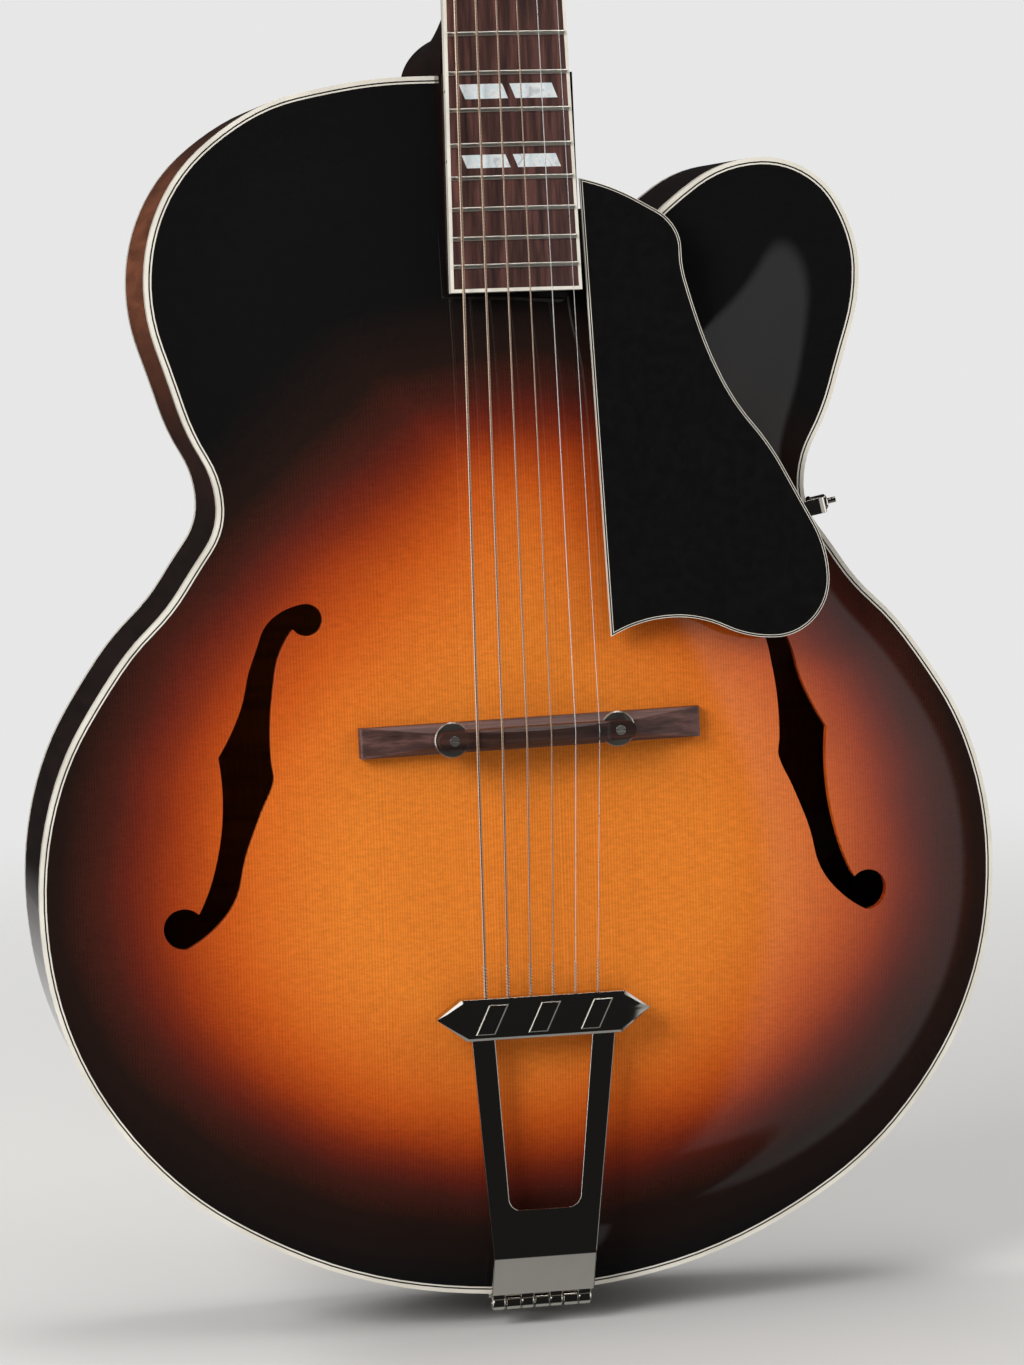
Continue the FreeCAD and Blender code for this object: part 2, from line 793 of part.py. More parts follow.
def fret(number):
    """A crowned wire bent to the board's radius, which ends at the binding."""
    at = fret_at(number)
    half = FRET_WIDTH / 2
    foot = -GLUE_LINE
    low = Vector(0, foot, at - half)
    high = Vector(0, foot, at + half)
    crown = Part.Arc(low, Vector(0, -FRET_HEIGHT, at), high).toShape()
    profile = Part.Face(Part.Wire([crown, line(high, low)]))
    reach = math.degrees(math.asin((board_half_width(at) - BOARD_BINDING) / BOARD_RADIUS))
    centre = Vector(0, BOARD_RADIUS, 0)
    profile.rotate(centre, UP, -reach)
    return profile.revolve(centre, UP, 2 * reach)


def side_dots():
    dots = []
    for number in MARKER_FRETS:
        middle = (fret_at(number) + fret_at(number - 1)) / 2
        offsets = [-4, 4] if number == 12 else [0]
        for offset in offsets:
            outer = -board_half_width(middle + offset)
            start = Vector(outer, BOARD_THICKNESS / 2, middle + offset)
            dots.append(rod(start, start + RIGHT * (BOARD_BINDING / 2), SIDE_DOT_RADIUS))
    return dots


def string_path(number):
    end, arriving = wind_point(number, 0)
    stop = HEAD.multVec(end - arriving * WIND_GAP)
    points = [string_at_tail(number), string_at_saddle(number), string_at_nut(number), stop]
    return rounded_path(points, STRING_BEND)


def string(number, extra=0.0):
    return tube(string_path(number), string_radius(number) + extra)


def nut_blank():
    half = NUT_WIDTH / 2
    blank = box(-half, half, -NUT_PROUD, BOARD_THICKNESS, NUT_AT, NUT_AT + NUT_THICKNESS)
    return set_in(NECK, blank.common(board_crown(NUT_PROUD)))


def half_oval(half_width, depth, place):
    """A half ellipse closed by its flat side; depth grows towards the back."""
    oval = Part.Ellipse(Vector(0, 0, 0), max(half_width, depth), min(half_width, depth))
    if depth > half_width:
        curve = Part.ArcOfEllipse(oval, -math.pi / 2, math.pi / 2).toShape()
        curve.rotate(Vector(0, 0, 0), UP, 90)
    else:
        curve = Part.ArcOfEllipse(oval, 0, math.pi).toShape()
    ends = [vertex.Point for vertex in curve.Vertexes]
    wire = Part.Wire([curve, line(ends[1], ends[0])])
    wire.Placement = place
    return wire


def neck_shaft():
    low = -FRET_WIDTH * 4
    high = NUT_AT + NUT_THICKNESS
    sections = []
    for along, depth in [(low, NECK_DEPTH_AT_HEEL), (high, NECK_DEPTH_AT_NUT)]:
        place = Placement(Vector(0, BOARD_THICKNESS, along), Rotation())
        sections.append(half_oval(board_half_width(along), depth, place))
    shaft = set_in(NECK, Part.makeLoft(sections, True, True))
    return shaft.common(box(-FAR, FAR, -FAR, FAR, BODY_LENGTH, BODY_LENGTH + 2 * FAR))


def heel():
    """Half-oval sections stacked from the neck down to the back's edge."""
    start = -HALF_RIM - OVERSTAND + BOARD_THICKNESS + NECK_DEPTH_AT_HEEL / 3
    sections = []
    for (half, length), depth in zip([HEEL_TOP, HEEL_MIDDLE, HEEL_END], [start, 0.0, HALF_RIM]):
        place = Placement(Vector(0, depth, BODY_LENGTH), Rotation(RIGHT, 90))
        sections.append(half_oval(half, length, place))
    return Part.makeLoft(sections, True, False)


def heel_cap():
    half, length = HEEL_END
    place = Placement(Vector(0, HALF_RIM, BODY_LENGTH), Rotation(RIGHT, 90))
    return Part.Face(half_oval(half, length, place)).extrude(BACK * HEEL_CAP_THICKNESS)


def riser():
    """The neck's tongue between the fingerboard and the top."""
    low = BODY_LENGTH + BOARD_END * math.cos(math.radians(NECK_ANGLE))
    tongue = box(-NECK_SIDE, NECK_SIDE, -FAR, -HALF_RIM + 1, low, BODY_LENGTH)
    under_board = set_in(NECK, box(-FAR, FAR, BOARD_THICKNESS, FAR, -FAR, FAR))
    return tongue.common(under_board).cut(behind_top(GLUE_LINE))


# Headstock, built in its own frame: its wooden face at the nut is its origin

def head_outline():
    half = NUT_WIDTH / 2
    low = HEAD_LOW_WIDTH / 2
    top = HEAD_TOP_WIDTH / 2
    shoulder = HEAD_LENGTH - HEAD_CREST
    right = [
        (plan(half, 0), UP),
        (plan(between(half, low, 0.55), POST_FIRST * 0.42), None),
        (plan(low, POST_FIRST), UP),
        (plan(top, shoulder), None),
    ]
    left = [(plan(-at.x, at.z), tan) for at, tan in right]
    crest = Part.Arc(plan(top, shoulder), plan(0, HEAD_LENGTH), plan(-top, shoulder)).toShape()
    foot = line(left[0][0], right[0][0])
    edges = smooth_run(right) + [crest, foot] + smooth_run(left)
    return Part.Wire(Part.sortEdges(edges)[0])


def post_holes(radius, front, back):
    holes = []
    for number in range(1, 7):
        side, height = post_place(number)
        middle = Vector(side * POST_OUT, front, height)
        holes.append(rod(middle, middle + BACK * (back - front), radius))
    return holes


TRUSS_AXIS = BOARD_THICKNESS + TRUSS_ROD_COVER + TRUSS_ROD_RADIUS


def truss_pocket():
    """The hollow in the headstock's face that the rod's nut turns in."""
    half = TRUSS_NUT_RADIUS + 1
    deep = TRUSS_AXIS - BOARD_THICKNESS + TRUSS_NUT_RADIUS + RUNNING_CLEARANCE
    return box(-half, half, -VENEER, deep, 0, COVER_LENGTH * 0.6)


def truss_channel():
    half = TRUSS_ROD_RADIUS + RUNNING_CLEARANCE
    top = NUT_AT + NUT_THICKNESS
    return box(-half, half, BOARD_THICKNESS, TRUSS_AXIS + TRUSS_ROD_RADIUS, NECK_DEPTH_AT_HEEL, top)


def truss_rod():
    end = NUT_AT + NUT_THICKNESS + TRUSS_NUT_LENGTH
    start = NECK_DEPTH_AT_HEEL + RUNNING_CLEARANCE
    return set_in(NECK, rod(Vector(0, TRUSS_AXIS, start), Vector(0, TRUSS_AXIS, end), TRUSS_ROD_RADIUS))


def truss_nut():
    start = Vector(0, TRUSS_AXIS, NUT_AT + NUT_THICKNESS + RUNNING_CLEARANCE)
    corners = []
    for corner in range(6):
        angle = math.radians(60 * corner)
        offset = Vector(math.cos(angle), math.sin(angle), 0) * TRUSS_NUT_RADIUS
        corners.append(start + offset)
    hexagon = Part.Face(polygon(corners)).extrude(UP * TRUSS_NUT_LENGTH)
    bore = rod(start, start + UP * TRUSS_NUT_LENGTH, TRUSS_ROD_RADIUS)
    return set_in(NECK, hexagon.cut(bore))


def truss_cover():
    half = COVER_WIDTH / 2
    tip = COVER_TIP_WIDTH / 2
    high = COVER_LENGTH - tip
    edges = [
        line(plan(-half, 0), plan(half, 0)),
        line(plan(half, 0), plan(tip, high)),
        Part.Arc(plan(tip, high), plan(0, COVER_LENGTH), plan(-tip, high)).toShape(),
        line(plan(-tip, high), plan(-half, 0)),
    ]
    return prism(Part.Wire(edges), -2 * VENEER, -VENEER)


def cover_screws():
    ends = [SCREW_HEAD_RADIUS * 1.6, COVER_LENGTH - SCREW_HEAD_RADIUS * 1.8]
    low_x = COVER_WIDTH / 2 - SCREW_HEAD_RADIUS * 1.6
    seats = [(-low_x, ends[0]), (low_x, ends[0]), (0, ends[1])]
    return [screw(Vector(x, -2 * VENEER, z), BACK) for x, z in seats]


# Tuners

WORM_DEPTH = HEAD_THICKNESS + HOUSING_PLATE + GEAR_WIDTH / 2 + MESH_GAP
KEY_OFFSET = GEAR_TIP_RADIUS + WORM_RADIUS + MESH_GAP
GEAR_ROOM = GEAR_TIP_RADIUS + 2 * MESH_GAP
WORM_ROOM = WORM_RADIUS + MESH_GAP


def tuner_box():
    """Width, low end, high end and depth of the closed gear case, about its post."""
    half = GEAR_ROOM + HOUSING_WALL
    low = -KEY_OFFSET - WORM_ROOM - HOUSING_WALL
    return half, low, half, HEAD_THICKNESS + HOUSING_PLATE + 2 * WORM_ROOM + HOUSING_WALL


def tuner_screw_heights():
    half, low, high, deep = tuner_box()
    return [low - HOUSING_EAR / 2, high + HOUSING_EAR / 2]


def tuner_housing(number):
    side, height = post_place(number)
    half, low, high, deep = tuner_box()
    case = box(-half, half, HEAD_THICKNESS, deep, low, high)
    long_edges = [edge for edge in case.Edges if edge.Length == max(each.Length for each in case.Edges)]
    case = case.makeFillet(HOUSING_WALL, long_edges[1:2] + long_edges[2:3])
    seat = HEAD_THICKNESS + HOUSING_PLATE
    plate = box(-half, half, HEAD_THICKNESS, seat, low - HOUSING_EAR, high + HOUSING_EAR)
    gear_room = rod(
        Vector(0, seat, 0),
        Vector(0, WORM_DEPTH + GEAR_WIDTH / 2 + MESH_GAP, 0),
        GEAR_ROOM,
    )
    post_hole = rod(Vector(0, HEAD_THICKNESS, 0), Vector(0, WORM_DEPTH, 0), POST_RADIUS + RUNNING_CLEARANCE)
    reach = WORM_LENGTH / 2 + RUNNING_CLEARANCE
    axle = Vector(0, WORM_DEPTH, -KEY_OFFSET)
    worm_room = rod(axle - RIGHT * reach, axle + RIGHT * reach, WORM_ROOM)
    key_hole = rod(axle, axle + RIGHT * (side * FAR), KEY_SHAFT_RADIUS + RUNNING_CLEARANCE)
    screws = [
        rod(Vector(0, 0, at), Vector(0, FAR, at), SCREW_RADIUS) for at in tuner_screw_heights()
    ]
    housing = case.fuse(plate).cut([gear_room, post_hole, worm_room, key_hole] + screws)
    housing.translate(Vector(side * POST_OUT, 0, height))
    return housing


def tuner_screws(number):
    side, height = post_place(number)
    seat = HEAD_THICKNESS + HOUSING_PLATE
    return [
        screw(Vector(side * POST_OUT, seat, height + at), -BACK) for at in tuner_screw_heights()
    ]


def button(start, side):
    """An oval plate with rounded faces on the end of the key's shaft."""
    middle = start + RIGHT * (side * (BUTTON_COLLAR + BUTTON_LENGTH / 2))
    oval = Part.Ellipse(Vector(0, 0, 0), BUTTON_WIDTH / 2, BUTTON_LENGTH / 2).toShape()
    plate = Part.Face(Part.Wire([oval])).extrude(UP * BUTTON_THICKNESS)
    plate = plate.makeFillet(BUTTON_THICKNESS * 0.4, plate.Edges)
    plate.translate(Vector(0, 0, -BUTTON_THICKNESS / 2))
    turn = Rotation(BACK, 90).multiply(Rotation(RIGHT, 90))
    plate.Placement = Placement(middle, turn).multiply(plate.Placement)
    collar = rod(start, middle, BUTTON_COLLAR_RADIUS)
    return plate.fuse(collar)


def tuner_key(number):
    side, height = post_place(number)
    axle = Vector(side * POST_OUT, WORM_DEPTH, height - KEY_OFFSET)
    out = RIGHT * side
    worm = rod(axle - out * (WORM_LENGTH / 2), axle + out * (WORM_LENGTH / 2), WORM_RADIUS)
    start = Vector(side * (HEAD_TOP_WIDTH / 2 + BUTTON_GAP), axle.y, axle.z)
    shaft = rod(axle, start + out * BUTTON_COLLAR, KEY_SHAFT_RADIUS)
    return fuse([worm, shaft, button(start, side)])


def gear(middle):
    """A toothed wheel on the foot of the post."""
    corners = []
    for tooth in range(GEAR_TEETH):
        for share, radius in [(0, GEAR_ROOT_RADIUS), (0.3, GEAR_ROOT_RADIUS), (0.45, GEAR_TIP_RADIUS),
                              (0.85, GEAR_TIP_RADIUS)]:
            angle = 2 * math.pi * (tooth + share) / GEAR_TEETH
            corners.append(middle + plan(math.cos(angle), math.sin(angle)) * radius)
    face = Part.Face(polygon(corners))
    face.translate(Vector(0, -GEAR_WIDTH / 2, 0))
    return face.extrude(BACK * GEAR_WIDTH)


def winding(number):
    """The string's own turns round its post, one unbroken tube on quarter turns."""
    stations = [wind_point(number, quarter / 4) for quarter in range(4 * WIND_TURNS + 1)]
    return tube(smooth_run(stations), string_radius(number))


def winding_gap(number):
    """Least room between one turn and the next, on points along the winding."""
    per_turn = 48
    points = [wind_point(number, step / per_turn)[0] for step in range(per_turn * WIND_TURNS + 1)]
    least = min(
        (points[i] - points[k]).Length
        for i in range(len(points))
        for k in range(i + per_turn // 2, len(points))
    )
    return least - STRING_DIAMETERS[number - 1]


def tuner_post(number):
    side, height = post_place(number)
    tip = -VENEER - POST_PROUD
    waist_top = tip + POST_CAP
    waist_end = waist_top + WIND_TURNS * (max(STRING_DIAMETERS) + WIND_GAP) + STRING_DIAMETERS[0]
    foot = WORM_DEPTH + GEAR_WIDTH / 2
    profile = [
        (0, tip), (POST_RADIUS - 0.8, tip), (POST_RADIUS, tip + 0.8), (POST_RADIUS, waist_top - 0.5),
        (POST_WAIST_RADIUS, waist_top), (POST_WAIST_RADIUS, waist_end),
        (POST_RADIUS, waist_end + 0.5), (POST_RADIUS, foot), (0, foot),
    ]
    post = turned(profile)
    post.translate(Vector(side * POST_OUT, 0, height))
    toothed = gear(Vector(side * POST_OUT, WORM_DEPTH, height))
    return group([fuse([post, toothed]), winding(number)])


def tuner_bushing(number):
    side, height = post_place(number)
    face = -VENEER
    bore = POST_RADIUS + RUNNING_CLEARANCE
    flange = face - BUSHING_FLANGE_HEIGHT
    deep = face + BUSHING_DEPTH
    profile = [
        (bore, flange), (BUSHING_FLANGE - 0.4, flange), (BUSHING_FLANGE, flange + 0.4),
        (BUSHING_FLANGE, face), (BUSHING_RADIUS, face), (BUSHING_RADIUS, deep), (bore, deep),
    ]
    bushing = turned(profile)
    bushing.translate(Vector(side * POST_OUT, 0, height))
    return bushing


# Bridge, built about its own middle

TOP_AT_BRIDGE = -HALF_RIM - TOP_ARCH
BASE_TOP = TOP_AT_BRIDGE - BASE_HEIGHT
WHEEL_LOW = BASE_TOP - WHEEL_GAP
SADDLE_LOW = WHEEL_LOW - WHEEL_THICKNESS


def capsule(length, width, front, back):
    half = width / 2
    reach = length / 2 - half
    edges = [
        line(plan(-reach, -half), plan(reach, -half)),
        Part.Arc(plan(reach, -half), plan(reach + half, 0), plan(reach, half)).toShape(),
        line(plan(reach, half), plan(-reach, half)),
        Part.Arc(plan(-reach, half), plan(-reach - half, 0), plan(-reach, -half)).toShape(),
    ]
    return prism(Part.Wire(edges), front, back)


def side_prism(points, half_length):
    """A section of (depth, height) points drawn out along X."""
    face = Part.Face(polygon([Vector(-half_length, y, z) for y, z in points]))
    return face.extrude(RIGHT * (2 * half_length))


def bridge_post(side, radius, high, low):
    x = side * BRIDGE_POST_SPREAD / 2
    return rod(Vector(x, low, 0), Vector(x, high, 0), radius)


def bridge_posts():
    low = BASE_TOP + BRIDGE_POST_SET
    high = SADDLE_LOW - SADDLE_SHOULDER
    posts = []
    for side in (-1, 1):
        x = side * BRIDGE_POST_SPREAD / 2
        slot = box(x - FAR, x + FAR, high - 1, high + 0.8, -0.4, 0.4)
        posts.append(bridge_post(side, BRIDGE_POST_RADIUS, high, low).cut(slot))
    return posts


def base_side_view():
    """The base seen from the tail: a flat middle, and ramps that drop to rounded ends."""
    end = BASE_LENGTH / 2
    start = BRIDGE_POST_SPREAD / 2 + WHEEL_RADIUS + RAMP_CLEAR
    low = TOP_AT_BRIDGE - BASE_END_HEIGHT
    deep = -HALF_RIM
    edges = [line(Vector(-start, BASE_TOP, 0), Vector(start, BASE_TOP, 0))]
    for side in (-1, 1):
        corners = [Vector(side * start, BASE_TOP, 0), Vector(side * end, low, 0), Vector(side * end, deep, 0)]
        edges += rounded_path(corners, BASE_END_ROUND)
    edges.append(line(Vector(-end, deep, 0), Vector(end, deep, 0)))
    return Part.Face(Part.Wire(Part.sortEdges(edges)[0]))


def bridge_base():
    half = BASE_WIDTH / 2
    top = BASE_TOP_WIDTH / 2
    shoulder = BASE_TOP + BASE_BEVEL
    deep = -HALF_RIM
    section = [(deep, -half), (shoulder, -half), (BASE_TOP, -top), (BASE_TOP, top), (shoulder, half),
               (deep, half)]
    view = base_side_view().extrude(UP * BASE_WIDTH)
    view.translate(-UP * half)
    blank = side_prism(section, BASE_LENGTH / 2).common(view)
    low = BASE_TOP + BRIDGE_POST_SET
    sockets = [bridge_post(side, BRIDGE_POST_RADIUS, BASE_TOP - 1, low) for side in (-1, 1)]
    base = set_in(BRIDGE, blank.cut(sockets))
    return base.cut(behind_top(GLUE_LINE)).Solids[0]


def thumbwheel(side):
    """A round disc with a bevelled and notched edge, for the fingers."""
    bore = BRIDGE_POST_RADIUS + RUNNING_CLEARANCE
    bevel = 2 * WHEEL_NOTCH
    edge = WHEEL_RADIUS - bevel
    profile = [
        (bore, SADDLE_LOW), (edge, SADDLE_LOW), (WHEEL_RADIUS, SADDLE_LOW + bevel),
        (WHEEL_RADIUS, WHEEL_LOW - bevel), (edge, WHEEL_LOW), (bore, WHEEL_LOW),
    ]
    corners = []
    for step in range(2 * WHEEL_NOTCHES):
        angle = math.pi * step / WHEEL_NOTCHES
        radius = WHEEL_RADIUS + WHEEL_NOTCH if step % 2 else WHEEL_RADIUS - WHEEL_NOTCH
        corners.append(plan(math.cos(angle), math.sin(angle)) * radius)
    wheel = turned(profile).common(prism(polygon(corners), SADDLE_LOW - 1, WHEEL_LOW + 1))
    wheel.translate(RIGHT * (side * BRIDGE_POST_SPREAD / 2))
    return set_in(BRIDGE, wheel)


def saddle_blank():
    """A bar whose low shoulders hold the posts and whose ridge is crowned like the board."""
    half = SADDLE_LENGTH / 2
    crown = SADDLE_CROWN / 2
    edge = SADDLE_TOP + crown_drop(crown)
    shoulder = SADDLE_LOW - SADDLE_SHOULDER
    edges = [
        line(Vector(-half, SADDLE_LOW, 0), Vector(half, SADDLE_LOW, 0)),
        line(Vector(half, SADDLE_LOW, 0), Vector(half, shoulder, 0)),
        line(Vector(half, shoulder, 0), Vector(crown + 1.5, shoulder, 0)),
        line(Vector(crown + 1.5, shoulder, 0), Vector(crown, edge, 0)),
        Part.Arc(Vector(crown, edge, 0), Vector(0, SADDLE_TOP, 0), Vector(-crown, edge, 0)).toShape(),
        line(Vector(-crown, edge, 0), Vector(-crown - 1.5, shoulder, 0)),
        line(Vector(-crown - 1.5, shoulder, 0), Vector(-half, shoulder, 0)),
        line(Vector(-half, shoulder, 0), Vector(-half, SADDLE_LOW, 0)),
    ]
    bar = Part.Face(Part.Wire(edges)).extrude(UP * SADDLE_WIDTH)
    bar.translate(-UP * (SADDLE_WIDTH / 2))
    wide = SADDLE_WIDTH / 2
    ridge = SADDLE_RIDGE / 2
    top = SADDLE_TOP - 1
    section = [(SADDLE_LOW, -wide), (shoulder, -wide), (top, -ridge), (top, ridge), (shoulder, wide),
               (SADDLE_LOW, wide)]
    bar = bar.common(side_prism(section, half)).common(capsule(SADDLE_LENGTH, SADDLE_WIDTH, -FAR, FAR))
    bores = [bridge_post(side, BRIDGE_POST_RADIUS + RUNNING_CLEARANCE, -FAR, FAR) for side in (-1, 1)]
    return set_in(BRIDGE, bar.cut(bores))


# Tailpiece

HINGE = Vector(0, -HALF_RIM - HINGE_AHEAD, -HINGE_BELOW)
HINGE_LENGTH = FRAME_LOW_WIDTH - 1
CROSSBAR_FRONT = -HALF_RIM - TAIL_STRING_HEIGHT - CROSSBAR_PROUD
CROSSBAR_BACK = CROSSBAR_FRONT + CROSSBAR_DEPTH


def knuckle_span(number):
    step = HINGE_LENGTH / KNUCKLES
    left = -HINGE_LENGTH / 2 + step * number
    return left, left + step


def knuckles(numbers, radius, room):
    """Lengths of the hinge barrel, shortened by the room at each end."""
    barrels = []
    for number in numbers:
        left, right = knuckle_span(number)
        start = HINGE + RIGHT * (left + room)
        barrels.append(rod(start, HINGE + RIGHT * (right - room), radius))
    return barrels


def hinge_bore(extra=0.0):
    half = HINGE_LENGTH / 2
    return rod(HINGE - RIGHT * half, HINGE + RIGHT * half, HINGE_PIN_RADIUS + extra)


def frame_sheet():
    """The bent sheet seen from the side, drawn out across the whole tailpiece."""
    sheet = FRAME_THICKNESS / 2
    front = CROSSBAR_FRONT + CROSSBAR_WALL + sheet
    path = [
        Vector(0, HINGE.y - HINGE_RADIUS + sheet, HINGE.z),
        Vector(0, -HALF_RIM - FRAME_BEND_HEIGHT, FRAME_BEND_AT),
        Vector(0, front, CROSSBAR_AT),
    ]
    below = unit(path[1] - path[0])
    above = unit(path[2] - path[1])
    lean = Vector(0, -(below + above).z, (below + above).y).normalize()
    stretch = 1 / lean.dot(Vector(0, -below.z, below.y))
    faces = []
    for offset in (-sheet, sheet):
        faces.append([
            path[0] + Vector(0, -below.z, below.y) * offset,
            path[1] + lean * (offset * stretch),
            path[2] + Vector(0, -above.z, above.y) * offset,
        ])
    inner = rounded_path(faces[0], FRAME_BEND_RADIUS + sheet)
    outer = rounded_path(faces[1], FRAME_BEND_RADIUS - sheet)
    ends = [line(faces[0][0], faces[1][0]), line(faces[0][2], faces[1][2])]
    profile = Part.Face(Part.Wire(Part.sortEdges(inner + outer + ends)[0]))
    profile.translate(-RIGHT * FRAME_TOP_WIDTH)
    return profile.extrude(RIGHT * (2 * FRAME_TOP_WIDTH))


def frame_plan():
    low = FRAME_LOW_WIDTH / 2
    top = FRAME_TOP_WIDTH / 2
    upper = CROSSBAR_AT
    bend = FRAME_BEND_AT
    corners = [plan(-low, HINGE.z), plan(low, HINGE.z), plan(low, bend), plan(top, upper),
               plan(-top, upper), plan(-low, bend)]
    blank = prism(polygon(corners), -FAR, 0)
    window_low = WINDOW_LOW_WIDTH / 2
    window_top = WINDOW_TOP_WIDTH / 2
    corners = [plan(window_top, upper + 1), plan(window_low, WINDOW_START),
               plan(-window_low, WINDOW_START), plan(-window_top, upper + 1)]
    edges = rounded_path(corners, WINDOW_CORNER)
    edges.append(line(corners[3], corners[0]))
    return blank.cut(prism(Part.Wire(edges), -FAR, 0))


def tailpiece_frame():
    own = range(0, KNUCKLES, 2)
    other = range(1, KNUCKLES, 2)
    sheet = frame_sheet().common(frame_plan())
    gaps = knuckles(other, HINGE_RADIUS + 2 * KNUCKLE_GAP, -KNUCKLE_GAP / 2)
    sheet = sheet.cut(gaps)
    barrels = knuckles(own, HINGE_RADIUS, KNUCKLE_GAP / 2)
    return fuse([sheet] + barrels).cut(hinge_bore(RUNNING_CLEARANCE))


def crossbar_outline(inset):
    upper = CROSSBAR_UPPER - inset
    lower = CROSSBAR_UPPER - CROSSBAR_HEIGHT + inset
    tip = CROSSBAR_TIP - inset * 1.4
    top = CROSSBAR_TOP - inset * 0.6
    low = CROSSBAR_LOW - inset * 0.6
    corners = [plan(low, lower), plan(tip, CROSSBAR_AT), plan(top, upper),
               plan(-top, upper), plan(-tip, CROSSBAR_AT), plan(-low, lower)]
    return polygon(corners)


def slanted_mark(x):
    half = MARK_WIDTH / 2
    tall = MARK_HEIGHT / 2
    lean = MARK_SLANT / 2
    middle = CROSSBAR_UPPER - CROSSBAR_HEIGHT / 2
    corners = [plan(x - half - lean, middle - tall), plan(x + half - lean, middle - tall),
               plan(x + half + lean, middle + tall), plan(x - half + lean, middle + tall)]
    return prism(polygon(corners), CROSSBAR_FRONT - MARK_PROUD, CROSSBAR_FRONT + 0.2)


def tailpiece_crossbar(frame):
    shoulder = CROSSBAR_FRONT + CROSSBAR_BEVEL
    face = crossbar_outline(CROSSBAR_BEVEL)
    face.translate(BACK * CROSSBAR_FRONT)
    rim = crossbar_outline(0)
    rim.translate(BACK * shoulder)
    shell = Part.makeLoft([face, rim], True, True).fuse(prism(crossbar_outline(0), shoulder, CROSSBAR_BACK))
    room = prism(crossbar_outline(CROSSBAR_WALL), CROSSBAR_FRONT + CROSSBAR_WALL, CROSSBAR_BACK + 1)
    slots = []
    for number in range(1, 7):
        at = string_at_tail(number)
        half = STRING_SLOT / 2
        slots.append(box(at.x - half, at.x + half, at.y - half, FAR, at.z, CROSSBAR_UPPER + 1))
    marks = [slanted_mark(MARK_STEP * step) for step in (-1, 0, 1)]
    return fuse([shell.cut([room] + slots)] + marks).cut(frame)


def ball_ends():
    balls = []
    for number in range(1, 7):
        middle = string_at_tail(number) - UP * BALL_RADIUS
        reach = RIGHT * (BALL_LENGTH / 2)
        balls.append(rod(middle - reach, middle + reach, BALL_RADIUS))
    return balls


def tail_bracket():
    front = HINGE.y + HINGE_RADIUS / 2
    back = -HALF_RIM + BRACKET_LENGTH
    half = FRAME_LOW_WIDTH / 2
    end = BRACKET_END_WIDTH / 2
    leaf = rim_ring(-BRACKET_THICKNESS, 0, front, back).common(box(-half, half, -FAR, FAR, -FAR, FAR / 8))
    corners = [Vector(-half, front, -FAR), Vector(half, front, -FAR), Vector(half, -HALF_RIM / 2, -FAR),
               Vector(end, back - end, -FAR)]
    edges = [line(start, stop) for start, stop in zip(corners, corners[1:])]
    round_end = Part.Arc(corners[3], Vector(0, back, -FAR), Vector(-end, back - end, -FAR)).toShape()
    left = [line(Vector(-end, back - end, -FAR), Vector(-half, -HALF_RIM / 2, -FAR)),
            line(Vector(-half, -HALF_RIM / 2, -FAR), corners[0])]
    outline = Part.Face(Part.Wire(edges + [round_end] + left)).extrude(UP * 2 * FAR)
    own = range(1, KNUCKLES, 2)
    other = range(0, KNUCKLES, 2)
    leaf = leaf.common(outline).cut(knuckles(other, HINGE_RADIUS + 2 * KNUCKLE_GAP, -KNUCKLE_GAP / 2))
    barrels = knuckles(own, HINGE_RADIUS, KNUCKLE_GAP / 2)
    return fuse([leaf] + barrels).cut(hinge_bore())


def bracket_screws():
    """Screws through the bracket's leaf into the tail block; the leaf's curve sets each seat."""
    tail_radius = LOWER_BOUT * 0.62
    screws = []
    for x, depth in [(-14, -26), (14, -26), (0, -HALF_RIM + BRACKET_LENGTH - 7)]:
        sag = tail_radius - math.sqrt(tail_radius ** 2 - x ** 2)
        screws.append(screw(Vector(x, depth, sag - BRACKET_THICKNESS), UP))
    return screws


def end_pin():
    seat = -BRACKET_THICKNESS
    collar = seat - PIN_COLLAR_HEIGHT
    neck = collar - PIN_NECK_LENGTH
    tip = neck - PIN_HEAD_HEIGHT
    inner = RIB_THICKNESS + PIN_SHANK_LENGTH
    edges = [
        (0, inner), (PIN_SHANK_RADIUS, inner), (PIN_SHANK_RADIUS, seat), (PIN_COLLAR_RADIUS, seat),
        (PIN_COLLAR_RADIUS, collar + 0.6), (PIN_NECK_RADIUS, collar), (PIN_NECK_RADIUS, neck + 0.6),
        (PIN_HEAD_RADIUS, neck), (PIN_HEAD_RADIUS, neck - 1.2), (PIN_HEAD_RADIUS * 0.7, tip + 0.7), (0, tip),
    ]
    return turned(edges, UP)


# Pickguard, in the neck's frame

def guard_outline():
    tip = plan(*GUARD_TIP)
    foot = plan(*GUARD_HEEL)
    right = [(tip, None)] + free(GUARD_CURVE)
    right += [(plan(*GUARD_SIDE), -UP), (plan(*GUARD_FOOT), -RIGHT), (plan(*GUARD_HOLLOW), -RIGHT)]
    right.append((foot, None))
    return Part.Wire(smooth_run(right) + [line(foot, tip)])


GUARD_UNDER = GUARD_DROP + GUARD_THICKNESS


def pickguard_pieces():
    outer = guard_outline()
    inner = outer.makeOffset2D(-GUARD_TRIM, 2)
    core = prism(inner, GUARD_DROP, GUARD_UNDER)
    trim = prism(outer, GUARD_DROP, GUARD_UNDER).cut(core)
    return set_in(NECK, core), set_in(NECK, trim)


def guard_block():
    """The block between the riser's side and the guard's underside."""
    width, length = GUARD_BLOCK
    low = GUARD_BLOCK_AT - length / 2
    block = box(NECK_SIDE, NECK_SIDE + width, GUARD_UNDER, FAR, low, low + length)
    return set_in(NECK, block).cut(behind_top(SIDE_CLEARANCE)).Solids[0]


